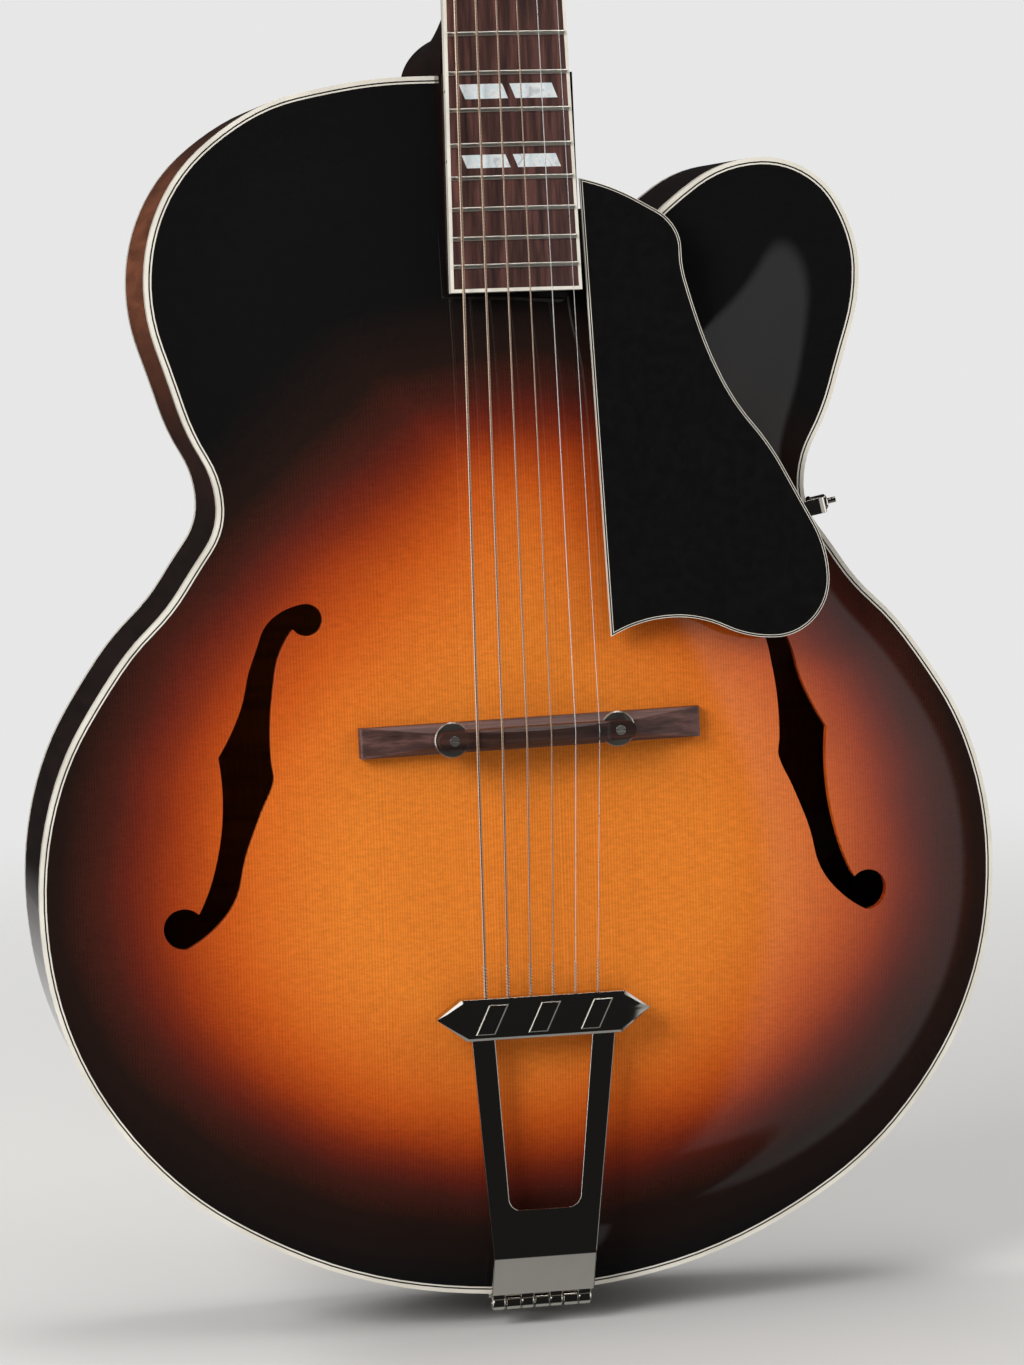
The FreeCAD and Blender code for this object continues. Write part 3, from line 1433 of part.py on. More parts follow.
STUD_DEPTH = GUARD_UNDER + CLAMP_DROP
STUD_DROP = STUD_DEPTH * math.sin(math.radians(NECK_ANGLE))
CLAMP_HEIGHT = WAIST_AT - CLAMP_BELOW_WAIST


def clamp_side():
    """Where the clamp's axis meets the treble side, with the whole collar outside it."""
    waist = plan(WAIST / 2, CLAMP_HEIGHT)
    side = Part.Face(body_outline())
    side.rotate(waist, BACK, CLAMP_LEAN)
    half = CLAMP_COLLAR_RADIUS + STUD_DROP + CLAMP_THICKNESS
    band = box(0, FAR, -1, 1, waist.z - half, waist.z + half)
    reach = side.common(band).BoundBox.XMax - waist.x
    return waist.x + reach / math.cos(math.radians(CLAMP_LEAN))


CLAMP_AT = (CLAMP_HEIGHT - BODY_LENGTH) / math.cos(math.radians(NECK_ANGLE))
CLAMP = NECK.multiply(Placement(Vector(clamp_side(), 0, CLAMP_AT), Rotation(BACK, -CLAMP_LEAN)))


def clamp_stud():
    start = Vector(-RIB_THICKNESS, STUD_DEPTH, 0)
    return rod(start, Vector(CLAMP_GAP + CLAMP_STUD_LENGTH, STUD_DEPTH, 0), CLAMP_STUD_RADIUS)


def guard_bracket():
    """A bent strip from under the guard round to the rib's side, with the stud it hangs on."""
    half = CLAMP_THICKNESS / 2
    path = [
        Vector(CLAMP_GAP - CLAMP_REACH, GUARD_UNDER + half, 0),
        Vector(CLAMP_GAP + half, GUARD_UNDER + half, 0),
        Vector(CLAMP_GAP + half, STUD_DEPTH + CLAMP_WIDTH / 2, 0),
    ]
    outer = [path[0] - BACK * half, path[1] + Vector(half, -half, 0), path[2] + RIGHT * half]
    inner = [path[0] + BACK * half, path[1] + Vector(-half, half, 0), path[2] - RIGHT * half]
    edges = rounded_path(outer, 2 * CLAMP_THICKNESS) + rounded_path(inner, CLAMP_THICKNESS)
    edges += [line(outer[0], inner[0]), line(outer[2], inner[2])]
    strip = Part.Face(Part.Wire(Part.sortEdges(edges)[0])).extrude(UP * CLAMP_WIDTH)
    strip.translate(-UP * (CLAMP_WIDTH / 2))
    return set_in(CLAMP, strip.fuse(clamp_stud()).removeSplitter())


def clamp_nut():
    """A turned nut with a collar, which the fingers tighten on the stud."""
    chamfer = CLAMP_NUT_CHAMFER
    profile = [
        (CLAMP_STUD_RADIUS, 0), (CLAMP_COLLAR_RADIUS - chamfer, 0), (CLAMP_COLLAR_RADIUS, chamfer),
        (CLAMP_COLLAR_RADIUS, CLAMP_COLLAR_LENGTH), (CLAMP_NUT_RADIUS, CLAMP_COLLAR_LENGTH),
        (CLAMP_NUT_RADIUS, CLAMP_NUT_LENGTH - chamfer), (CLAMP_NUT_RADIUS - chamfer, CLAMP_NUT_LENGTH),
        (CLAMP_STUD_RADIUS, CLAMP_NUT_LENGTH),
    ]
    nut = turned(profile, RIGHT)
    nut.translate(Vector(CLAMP_GAP + CLAMP_THICKNESS, STUD_DEPTH, 0))
    return set_in(CLAMP, nut)


# Assembly

def body_pieces():
    room = hollow()
    pin = end_pin()
    screws = bracket_screws()
    pegs = [pin] + screws
    joint = tenon()
    stud = set_in(CLAMP, clamp_stud())
    head = room.common(neck_block_room())
    tail = room.common(tail_block_room())
    blocks = [neck_block_room(), tail_block_room()]
    front = lining(FRONT_EDGE[1], FRONT_EDGE[1] + LINING_HEIGHT, blocks + [stud])
    back = lining(BACK_EDGE[0] - LINING_HEIGHT, BACK_EDGE[0], blocks)
    trim = BINDING_WIDTH + PURFLING_WIDTH
    return {
        "soundboard": soundboard(),
        "back_plate": back_plate(),
        "rib_bass": rib(-1).cut(pegs + [joint]),
        "rib_treble": rib(1).cut(pegs + [joint, stud]),
        "linings": group(front.Solids + back.Solids),
        "neck_block": head.cut(joint),
        "tail_block": tail.cut(pegs),
        "tone_bars": group([tone_bar(room, -1), tone_bar(room, 1)]),
        "top_binding": rim_ring(0, BINDING_WIDTH, *FRONT_EDGE),
        "top_purfling": rim_ring(BINDING_WIDTH, trim, *FRONT_EDGE),
        "back_binding": rim_ring(0, BACK_BINDING_WIDTH, *BACK_EDGE),
        "end_pin": pin,
        "tail_bracket": tail_bracket().cut(pegs),
    }, screws


def neck_pieces():
    head_screws = cover_screws()
    for number in range(1, 7):
        head_screws += tuner_screws(number)
    markers = [marker(number, side) for number in MARKER_FRETS for side in (-1, 1)]
    dots = side_dots()
    board = board_prism(BOARD_BINDING, -1, BOARD_THICKNESS).common(board_crown())
    edge = board_prism(0, -1, BOARD_THICKNESS).common(board_crown())
    edge = edge.cut(board_prism(BOARD_BINDING, -2, BOARD_THICKNESS + 1))
    holes = post_holes(BUSHING_RADIUS, -FAR, BUSHING_DEPTH - VENEER)
    wide_holes = post_holes(POST_RADIUS + 2 * RUNNING_CLEARANCE, -FAR, FAR)
    plate = prism(head_outline(), 0, HEAD_THICKNESS)
    plate = plate.cut(holes + wide_holes + head_screws + [truss_pocket()])
    neck = fuse([neck_shaft(), heel(), riser(), tenon(), set_in(HEAD, plate)])
    neck = neck.cut([set_in(NECK, truss_channel()), set_in(HEAD, truss_pocket())])
    veneer = prism(head_outline(), -VENEER, 0).cut(holes + head_screws + [truss_pocket()])
    slots = [string(number, STRING_CLEARANCE) for number in range(1, 7)]
    pieces = {
        "neck": neck.Solids[0],
        "heel_cap": heel_cap(),
        "fingerboard": set_in(NECK, board.cut(markers)),
        "fingerboard_binding": set_in(NECK, edge.cut(dots)),
        "frets": set_in(NECK, group([fret(number) for number in range(1, FRET_COUNT + 1)])),
        "position_markers": set_in(NECK, group(markers)),
        "side_dots": set_in(NECK, group(dots)),
        "nut": nut_blank().cut(slots),
        "truss_rod": truss_rod(),
        "truss_rod_nut": truss_nut(),
        "headstock_veneer": set_in(HEAD, veneer),
        "truss_rod_cover": set_in(HEAD, truss_cover().cut(head_screws)),
        "tuner_housings": set_in(HEAD, group([tuner_housing(number) for number in range(1, 7)])),
        "tuner_bushings": set_in(HEAD, group([tuner_bushing(number) for number in range(1, 7)])),
    }
    for number in range(1, 7):
        pieces[f"tuner_key_{number}"] = set_in(HEAD, tuner_key(number))
        pieces[f"tuner_post_{number}"] = set_in(HEAD, tuner_post(number))
        pieces[f"string_{number}"] = string(number)
    return pieces, [set_in(HEAD, each) for each in head_screws]


def bridge_pieces():
    slots = [string(number, STRING_CLEARANCE) for number in range(1, 7)]
    return {
        "bridge_base": bridge_base(),
        "bridge_saddle": saddle_blank().cut(slots).Solids[0],
        "bridge_posts": set_in(BRIDGE, group(bridge_posts())),
        "thumbwheel_bass": thumbwheel(-1),
        "thumbwheel_treble": thumbwheel(1),
    }


def tailpiece_pieces():
    frame = tailpiece_frame()
    return {
        "tailpiece_frame": frame,
        "tailpiece_crossbar": tailpiece_crossbar(frame),
        "hinge_pin": hinge_bore(),
        "ball_ends": group(ball_ends()),
    }


def guard_pieces():
    core, trim = pickguard_pieces()
    return {
        "pickguard": core,
        "pickguard_binding": trim,
        "pickguard_block": guard_block(),
        "pickguard_bracket": guard_bracket(),
        "pickguard_nut": clamp_nut(),
    }


def all_pieces():
    pieces, screws = body_pieces()
    neck, head_screws = neck_pieces()
    pieces.update(neck)
    pieces.update(bridge_pieces())
    pieces.update(tailpiece_pieces())
    pieces.update(guard_pieces())
    pieces["wood_screws"] = group(screws + head_screws)
    return pieces


def report_cords():
    for number in range(1, 7):
        length = sum(edge.Length for edge in string_path(number))
        volume = string(number).Volume / (math.pi * string_radius(number) ** 2 * length)
        print(f"string {number}: length {length:.1f}, volume to section times length {volume:.4f}, "
              f"winding gap {winding_gap(number):.2f}")


os.makedirs("parts", exist_ok=True)
for name, shape in all_pieces().items():
    shape.exportStep(f"parts/{name}.step")
report_cords()
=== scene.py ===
import math
import bmesh
import bpy
import numpy as np
from mathutils import Matrix, Vector
from mathutils.geometry import delaunay_2d_cdt


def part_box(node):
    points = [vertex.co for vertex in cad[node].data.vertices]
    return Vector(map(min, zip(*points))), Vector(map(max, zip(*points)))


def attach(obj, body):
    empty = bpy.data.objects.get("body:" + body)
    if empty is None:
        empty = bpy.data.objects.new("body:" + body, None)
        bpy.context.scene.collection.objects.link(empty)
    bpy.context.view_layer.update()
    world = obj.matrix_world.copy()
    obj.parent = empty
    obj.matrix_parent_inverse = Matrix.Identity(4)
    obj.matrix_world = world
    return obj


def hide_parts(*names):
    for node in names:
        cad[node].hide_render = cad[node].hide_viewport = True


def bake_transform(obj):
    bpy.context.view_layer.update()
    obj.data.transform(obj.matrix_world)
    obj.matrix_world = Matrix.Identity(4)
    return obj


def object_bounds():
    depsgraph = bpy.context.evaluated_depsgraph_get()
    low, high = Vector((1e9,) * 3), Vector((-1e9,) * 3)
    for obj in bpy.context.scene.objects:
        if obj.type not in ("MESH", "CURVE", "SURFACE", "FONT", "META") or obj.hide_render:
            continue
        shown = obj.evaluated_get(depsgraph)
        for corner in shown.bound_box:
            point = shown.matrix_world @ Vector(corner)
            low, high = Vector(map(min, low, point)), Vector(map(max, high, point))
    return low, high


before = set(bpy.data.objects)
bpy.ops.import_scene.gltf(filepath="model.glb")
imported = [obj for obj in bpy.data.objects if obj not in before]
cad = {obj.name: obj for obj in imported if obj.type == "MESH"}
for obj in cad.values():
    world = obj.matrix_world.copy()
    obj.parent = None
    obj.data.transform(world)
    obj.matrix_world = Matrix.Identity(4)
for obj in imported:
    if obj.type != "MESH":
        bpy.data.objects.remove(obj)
cad_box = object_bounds()


# Inside of the body: linings, end blocks and the two tone bars under the top.
# They are sawn from pale spruce, left bare, and glued to the ribs and plates.

def linear(hex_colour):
    """An sRGB hex colour as the linear colour that the shaders take."""
    shares = [int(hex_colour[i:i + 2], 16) / 255 for i in (1, 3, 5)]
    return [s / 12.92 if s <= 0.04045 else ((s + 0.055) / 1.055) ** 2.4 for s in shares] + [1.0]


def add(tree, kind, inputs=None, **settings):
    """One node with its settings and its values or links."""
    made = tree.nodes.new(kind)
    for name, value in settings.items():
        setattr(made, name, value)
    for socket, value in (inputs or {}).items():
        if isinstance(value, bpy.types.NodeSocket):
            tree.links.new(value, made.inputs[socket])
        else:
            made.inputs[socket].default_value = value
    return made


def coloured(tree, value, *stops):
    """The colour that a ramp of sRGB stops gives a value."""
    made = add(tree, "ShaderNodeValToRGB", {"Fac": value})
    elements = made.color_ramp.elements
    while len(elements) < len(stops):
        elements.new(1.0)
    for element, (position, colour) in zip(elements, stops):
        element.position = position
        element.color = linear(colour)
    return made.outputs["Color"]


def grained(tree, place, scale, detail, **more):
    """A noise drawn out along the grain, from 0 to 1."""
    drawn = add(tree, "ShaderNodeMapping", {"Vector": place, "Scale": scale}).outputs[0]
    return add(tree, "ShaderNodeTexNoise", {
        "Vector": drawn, "Scale": 1.0, "Detail": detail, **more}).outputs["Fac"]


def bumped(tree, height, strength, distance):
    """The surface's direction where a height raises it."""
    return add(tree, "ShaderNodeBump", {
        "Height": height, "Strength": strength, "Distance": distance}).outputs[0]


def surface(tree, inputs):
    """The one shader of a material, with its values or links, joined to the output."""
    shader = add(tree, "ShaderNodeBsdfPrincipled", inputs)
    add(tree, "ShaderNodeOutputMaterial", {"Surface": shader.outputs[0]})


def new_material(name):
    """An empty material, its node tree and the place on the guitar in metres."""
    made = bpy.data.materials.new(name)
    made.use_nodes = True
    made.node_tree.nodes.clear()
    return made, made.node_tree, add(made.node_tree, "ShaderNodeTexCoord").outputs["Object"]


def dress(material, *names):
    """Gives CAD nodes a finish in place of their plain one."""
    for name in names:
        mesh = cad[name].data
        mesh.materials.clear()
        mesh.materials.append(material)
        for face in mesh.polygons:
            face.material_index = 0


# Sawn spruce: pale straw colour with soft growth lines about 1.5 mm apart and a dry, dull face.
bare_spruce, tree, place = new_material("bare_spruce_sawn")
grain = grained(tree, place, (650, 650, 25), 4.0)
surface(tree, {
    "Base Color": coloured(tree, grain, (0.3, "#C9A46C"), (0.7, "#E3C793")),
    "Roughness": 0.8, "Normal": bumped(tree, grain, 0.2, 0.0003)})
dress(bare_spruce, "linings", "neck_block", "tail_block", "tone_bars")


# Ribs, carved back and neck: maple with a light curl, stained dark brown to black at the edges
# and sprayed with gloss lacquer; the ribs' lighter brown high on the bass side is painted light. The ribs
# are bent and glued to the blocks and linings.

def maths(tree, operation, *values):
    """The result of one operation on numbers or sockets."""
    return add(tree, "ShaderNodeMath", dict(enumerate(values)), operation=operation).outputs[0]


def vector_maths(tree, operation, *values):
    """The result of one operation on vectors: a number where it is a length or a dot product."""
    made = add(tree, "ShaderNodeVectorMath", dict(enumerate(values)), operation=operation)
    return made.outputs["Value" if operation in ("LENGTH", "DOT_PRODUCT") else "Vector"]


def ranged(tree, value, start, end, low=0.0, high=1.0, **settings):
    """A value brought from one range to another and held at its ends."""
    return add(tree, "ShaderNodeMapRange", {
        "Value": value, "From Min": start, "From Max": end,
        "To Min": low, "To Max": high}, **settings).outputs[0]


def shaded(tree, colour, shade):
    """A colour made darker or lighter by a factor."""
    grey = add(tree, "ShaderNodeCombineColor", {0: shade, 1: shade, 2: shade}).outputs[0]
    return add(tree, "ShaderNodeMix", {"Factor": 1.0, 6: colour, 7: grey},
               data_type="RGBA", blend_type="MULTIPLY").outputs[2]


# Curly maple: soft bands across the grain, about 7 mm apart, over pores 1 mm apart, all under one
# clear hard shine.
def curly_maple(name, stops, centre, reach):
    """Maple whose stain runs through the stops from a centre outwards, over its reach on each axis."""
    made, tree, place = new_material(name)
    offset = vector_maths(tree, "SUBTRACT", place, centre)
    outward = vector_maths(tree, "LENGTH", vector_maths(tree, "MULTIPLY", offset, [1 / r for r in reach]))
    curl = grained(tree, place, (14, 14, 140), 2.0, Distortion=0.5)
    pores = grained(tree, place, (1000, 1000, 60), 3.0)
    wander = maths(tree, "MULTIPLY_ADD", curl, 0.16, -0.08)
    stain = coloured(tree, maths(tree, "ADD", outward, wander), *stops)
    figure = maths(tree, "MULTIPLY_ADD", pores, 0.4, curl)
    surface(tree, {
        "Base Color": shaded(tree, stain, ranged(tree, figure, 0.5, 0.9, 0.6, 1.3)),
        "Roughness": 0.4, "Specular IOR Level": 0.0,
        "Coat Weight": 1.0, "Coat Roughness": 0.04, "Coat IOR": 1.5})
    return made


# The ribs' stain centres high on the bass side, so only the upper bass rib is lighter brown: painted light
# from the upper left, over a real dark brown to black stain.
rib_maple_painted_light = curly_maple("lacquered_maple_rib_painted_light", [(0.2, "#7E4A33"), (0.6, "#4A281C"), (1.0, "#1C110E")],
                        centre=(-0.17, 0, 0.47), reach=(0.22, 0.2, 0.115))
back_maple = curly_maple("lacquered_maple_back", [
    (0.3, "#B86A22"), (0.58, "#8A3F14"), (0.8, "#3A180C"), (0.98, "#120A08")],
    centre=(0, 0.05, 0.22), reach=(0.215, 1.0, 0.31))
neck_maple = curly_maple("lacquered_maple_neck", [(0.4, "#4E2615"), (0.9, "#160C09")],
                         centre=(0, -0.02, 0.74), reach=(0.2, 0.2, 0.2))
dress(rib_maple_painted_light, "rib_bass", "rib_treble")
dress(back_maple, "back_plate")
dress(neck_maple, "neck")


# Soundboard: two book-matched halves of spruce, carved to an arch with two f-holes, sprayed with
# a sunburst from amber to black and finished in gloss lacquer, glued round its edge to the ribs.

# The burst is round below its centre, where it is also flatter, and closes in two straight lines up
# to the fingerboard. Past the tip's start it darkens faster along those lines.
BURST_CENTRE = (0.0005, 0.0, 0.188)
BURST_SLOPE = math.radians(47.6)
BURST_FLATTEN = 0.36
BURST_NARROW = 1.015
BURST_TIP = 0.108
BURST_TIP_SHADE = 0.65
BURST_AMBER = 0.085
BURST_BLACK = 0.247
BURST_DRIFT = 0.016

# Spruce under gloss lacquer: growth lines about 1.2 mm apart up the body, short silk flecks
# across them, and one clear hard shine over the whole burst.
spruce, tree, place = new_material("lacquered_spruce_sunburst")
from_centre = add(tree, "ShaderNodeSeparateXYZ", {0: vector_maths(tree, "SUBTRACT", place, BURST_CENTRE)})
aside = maths(tree, "ABSOLUTE", maths(tree, "MULTIPLY", from_centre.outputs["X"], BURST_NARROW))
below = maths(tree, "LESS_THAN", from_centre.outputs["Z"], 0.0)
flattening = maths(tree, "MULTIPLY_ADD", below, BURST_FLATTEN, 1.0)
height = maths(tree, "MULTIPLY", from_centre.outputs["Z"], flattening)
flat = add(tree, "ShaderNodeCombineXYZ", {"X": aside, "Z": height}).outputs[0]
round_reach = vector_maths(tree, "LENGTH", flat)
vee_reach = vector_maths(tree, "DOT_PRODUCT", flat, (math.cos(BURST_SLOPE), 0, math.sin(BURST_SLOPE)))
up_vee = vector_maths(tree, "DOT_PRODUCT", flat, (-math.sin(BURST_SLOPE), 0, math.cos(BURST_SLOPE)))
in_vee = maths(tree, "GREATER_THAN", up_vee, 0.0)
tip = ranged(tree, up_vee, BURST_TIP, 1.0, high=BURST_TIP_SHADE * (1 - BURST_TIP))
reach = add(tree, "ShaderNodeMix", {
    "Factor": in_vee, 2: round_reach, 3: maths(tree, "ADD", vee_reach, tip)}).outputs[0]
cloud = add(tree, "ShaderNodeTexNoise", {"Vector": place, "Scale": 14.0, "Detail": 3.0}).outputs["Fac"]
drift = maths(tree, "MULTIPLY_ADD", cloud, BURST_DRIFT, -BURST_DRIFT / 2)
burst = ranged(tree, maths(tree, "ADD", reach, drift), BURST_AMBER, BURST_BLACK)
stain = coloured(
    tree, burst, (0.0, "#D57729"), (0.12, "#CF6F26"), (0.24, "#C86421"), (0.36, "#B65019"),
    (0.485, "#8F3514"), (0.545, "#712814"), (0.605, "#591F15"), (0.667, "#411C15"), (0.79, "#211511"),
    (1.0, "#111010"))
rings = add(tree, "ShaderNodeTexWave", {
    "Vector": add(tree, "ShaderNodeMapping", {"Vector": place, "Scale": (251, 10, 2.5)}).outputs[0],
    "Scale": 1.0, "Distortion": 6.0, "Detail": 3.0, "Detail Scale": 0.5}, bands_direction="X").outputs["Fac"]
silk = grained(tree, place, (300, 60, 950), 4.0, Roughness=0.7)
figure = maths(tree, "MULTIPLY_ADD", rings, 0.35, silk)
surface(tree, {
    "Base Color": shaded(tree, stain, ranged(tree, figure, 0.35, 1.0, 0.73, 1.14)),
    "Roughness": 0.45, "Specular IOR Level": 0.0,
    "Coat Weight": 1.0, "Coat Roughness": 0.03, "Coat IOR": 1.5})

# Points closer than the weld count as one, a face that looks further forward than this is a front,
# and nothing is divided by less than the least square.
WELD = 1e-6
FRONT_FACING = -0.7
LEAST_SQUARE = 1e-12


def rim_lines(name):
    """The closed lines where a CAD piece's front face meets its sides, longest first."""
    shape = bmesh.new()
    shape.from_mesh(cad[name].data)
    bmesh.ops.remove_doubles(shape, verts=shape.verts, dist=WELD)
    shape.normal_update()
    links = {}
    for edge in shape.edges:
        fronts = [face.normal.y < FRONT_FACING for face in edge.link_faces]
        if len(fronts) == 2 and fronts[0] != fronts[1]:
            a, b = edge.verts
            links.setdefault(a.index, []).append(b.index)
            links.setdefault(b.index, []).append(a.index)
    shape.verts.ensure_lookup_table()
    places = [vert.co.copy() for vert in shape.verts]
    shape.free()
    lines = []
    while links:
        line = [min(links)]
        onward = [line[0]]
        while onward:
            onward = [i for i in links[line[-1]] if i not in line]
            line += onward[:1]
        lines.append([places[i] for i in line])
        for i in line:
            links.pop(i)
    return sorted(lines, key=lambda line: -sum((b - a).length for a, b in zip(line, line[1:])))


# The top's surface is made again on a fine net, because its shine shows every facet: a skin blown up
# inside the edge as the carver's arch, with the hollow that is scraped round the rim. The hollow
# runs out beside the neck's foot.
TOP_EDGE = -0.043
TOP_ARCH = 0.0185
TOP_THICKNESS = 0.0055
ARCH_FULLNESS = 0.75
HOLLOW_DEPTH = 0.95
HOLLOW_REACH = 0.031
FOOT_HALF_WIDTH = 0.034
FOOT_FADE = 0.02
FOOT_LEVEL = 0.46
FOOT_RISE = 0.04
EDGE_EASE = 0.0004
EDGE_EASE_ASIDE = 0.00028
HOLE_CORNER = math.radians(32)
RIM_POINTS = 20
NET = 0.003
NET_MARGIN = 4 * NET
SKIN_PASSES = 700
SKIN_PULL = 1.96
SMOOTHING_PASSES = 6


def rounded(line, steps=4):
    """A closed line with more points, curved through its own points except at sharp corners."""
    count = len(line)
    corner = []
    for i in range(count):
        before, after = line[i] - line[i - 1], line[(i + 1) % count] - line[i]
        corner.append(before.angle(after) > HOLE_CORNER)
    made = []
    for i in range(count):
        a, b = line[i], line[(i + 1) % count]
        first = a + (a - b) / 3 if corner[i] else line[i - 1]
        last = b + (b - a) / 3 if corner[(i + 1) % count] else line[(i + 2) % count]
        reach = (b - a).length
        lead = (b - first).normalized() * reach
        trail = (last - a).normalized() * reach
        for step in range(steps):
            s = step / steps
            made.append(a * (2 * s ** 3 - 3 * s ** 2 + 1) + lead * (s ** 3 - 2 * s ** 2 + s)
                        + b * (3 * s ** 2 - 2 * s ** 3) + trail * (s ** 3 - s ** 2))
    return made


# The three longest lines with many points are the outer edge and the two f-holes.
edge_line, *hole_lines = [line for line in rim_lines("soundboard") if len(line) > RIM_POINTS][:3]
hole_lines = [rounded(line) for line in hole_lines]
low_x = min(p.x for p in edge_line) - NET_MARGIN
low_z = min(p.z for p in edge_line) - NET_MARGIN
net_x = np.arange(low_x, max(p.x for p in edge_line) + NET_MARGIN, NET)
net_z = np.arange(low_z, max(p.z for p in edge_line) + NET_MARGIN, NET)
grid_x, grid_z = np.meshgrid(net_x, net_z, indexing="ij")


def inside(line, x, z):
    """True for the points that lie inside a closed line."""
    hit = np.zeros(x.shape, bool)
    for a, b in zip(line, line[1:] + line[:1]):
        if a.z != b.z:
            crossing = a.x + (b.x - a.x) * (z - a.z) / (b.z - a.z)
            hit ^= ((a.z > z) != (b.z > z)) & (x < crossing)
    return hit


# The skin rises until each point stands a little above the mean of its neighbours, odd and even points
# by turns. It is then shaped to the arch, hollowed near the edge and smoothed.
within = inside(edge_line, grid_x, grid_z)
skin = np.zeros(grid_x.shape)
checks = [within & ((np.indices(skin.shape).sum(0) % 2) == side) for side in (0, 1)]
for _ in range(SKIN_PASSES):
    for check in checks:
        around = sum(np.roll(skin, step, axis) for axis in (0, 1) for step in (1, -1)) + 1
        skin[check] += SKIN_PULL * (around[check] / 4 - skin[check])
arch = np.sin(math.pi / 2 * np.clip(skin / skin.max(), 0, 1) ** ARCH_FULLNESS) ** 2
below_foot = np.clip((FOOT_LEVEL - grid_z) / FOOT_RISE, 0, 1)
hollowed = np.clip((np.abs(grid_x) - FOOT_HALF_WIDTH) / FOOT_FADE + below_foot, 0, 1)
from_edge = np.full(grid_x.shape, 1.0)
for a, b in zip(edge_line, edge_line[1:] + edge_line[:1]):
    run_x, run_z = b.x - a.x, b.z - a.z
    passed = (grid_x - a.x) * run_x + (grid_z - a.z) * run_z
    passed = np.clip(passed / max(run_x ** 2 + run_z ** 2, LEAST_SQUARE), 0, 1)
    from_edge = np.minimum(from_edge, np.hypot(grid_x - a.x - passed * run_x, grid_z - a.z - passed * run_z))
arch *= 1 - HOLLOW_DEPTH * hollowed * np.exp(-(from_edge / HOLLOW_REACH) ** 3)
for _ in range(SMOOTHING_PASSES):
    arch = (np.roll(arch, 1, 0) + 2 * arch + np.roll(arch, -1, 0)) / 4
    arch = (np.roll(arch, 1, 1) + 2 * arch + np.roll(arch, -1, 1)) / 4
front = TOP_EDGE - TOP_ARCH * arch
slope_x, slope_z = np.gradient(front, NET)


def on_net(values, x, z):
    """A value of the net between its points."""
    i, k = (x - low_x) / NET, (z - low_z) / NET
    a, c = int(i), int(k)
    u, w = i - a, k - c
    return ((values[a, c] * (1 - u) + values[a + 1, c] * u) * (1 - w)
            + (values[a, c + 1] * (1 - u) + values[a + 1, c + 1] * u) * w)


# The edge, the f-holes and the net's free points are joined into flat faces.
points = [Vector((p.x, p.z)) for line in (edge_line, *hole_lines) for p in line]
ties = []
for line in (edge_line, *hole_lines):
    first = len(ties)
    ties += [(first + i, first + (i + 1) % len(line)) for i in range(len(line))]
free = within.copy()
for line in hole_lines:
    free &= ~inside(line, grid_x, grid_z)
for p in points:
    free[round((p.x - low_x) / NET), round((p.y - low_z) / NET)] = False
points += [Vector((x, z)) for x, z in zip(grid_x[free], grid_z[free])]
flat_points, _, flat_faces, sources, _, _ = delaunay_2d_cdt(points, ties, [], 1, WELD / 10)
middles = np.array([sum((flat_points[i] for i in face), Vector((0, 0))) / len(face) for face in flat_faces])
in_hole = np.zeros(len(flat_faces), bool)
for line in hole_lines:
    in_hole |= inside(line, middles[:, 0], middles[:, 1])
flat_faces = [face for face, cut in zip(flat_faces, in_hole) if not cut]

# Each face is raised to the arch and gets a twin on the inside; walls with an eased edge join the two.
count = len(flat_points)
depths = [TOP_EDGE if min(source, default=count) < len(edge_line) else on_net(front, p.x, p.y)
          for p, source in zip(flat_points, sources)]
outward = [Vector((on_net(slope_x, p.x, p.y), -1, on_net(slope_z, p.x, p.y))).normalized()
           for p in flat_points]
places = [(p.x, y, p.y) for p, y in zip(flat_points, depths)]
places += [(p.x, y + TOP_THICKNESS, p.y) for p, y in zip(flat_points, depths)]
runs = {(face[i], face[(i + 1) % len(face)]) for face in flat_faces for i in range(len(face))}
rims = sorted((a, b) for a, b in runs if (b, a) not in runs)
clear_side = {}
for a, b in rims:
    run = (flat_points[b] - flat_points[a]).normalized()
    for i in (a, b):
        clear_side[i] = clear_side.get(i, Vector((0, 0, 0))) + Vector((run.y, 0, -run.x))
faces = flat_faces + [[i + count for i in reversed(face)] for face in flat_faces]
normals = [outward[i] for face in flat_faces for i in face]
normals += [-outward[i] for face in flat_faces for i in reversed(face)]
eased = {}
for i, side in clear_side.items():
    eased[i] = len(places)
    side.normalize()
    places.append(Vector(places[i]) + side * EDGE_EASE_ASIDE + Vector((0, EDGE_EASE, 0)))
for a, b in rims:
    faces += [(b, a, eased[a], eased[b]), (eased[b], eased[a], a + count, b + count)]
    normals += [outward[b], outward[a], clear_side[a], clear_side[b]]
    normals += [clear_side[b], clear_side[a], clear_side[a], clear_side[b]]


def new_piece(name, mesh, *materials):
    """A mesh with its materials, put into the scene as a piece."""
    for material in materials:
        mesh.materials.append(material)
    made = bpy.data.objects.new(name, mesh)
    bpy.context.scene.collection.objects.link(made)
    return made


mesh = bpy.data.meshes.new("carved_top")
mesh.from_pydata(places, [], faces)
for face in mesh.polygons:
    face.use_smooth = True
mesh.normals_split_custom_set(normals)
top = new_piece("carved_top", mesh, spruce)
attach(top, "guitar")
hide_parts("soundboard")


# Binding and purfling: strips of cream celluloid round the top's and back's edges, with thin black
# and white fibre lines inside the top's strip, glued into rebates and scraped flush.

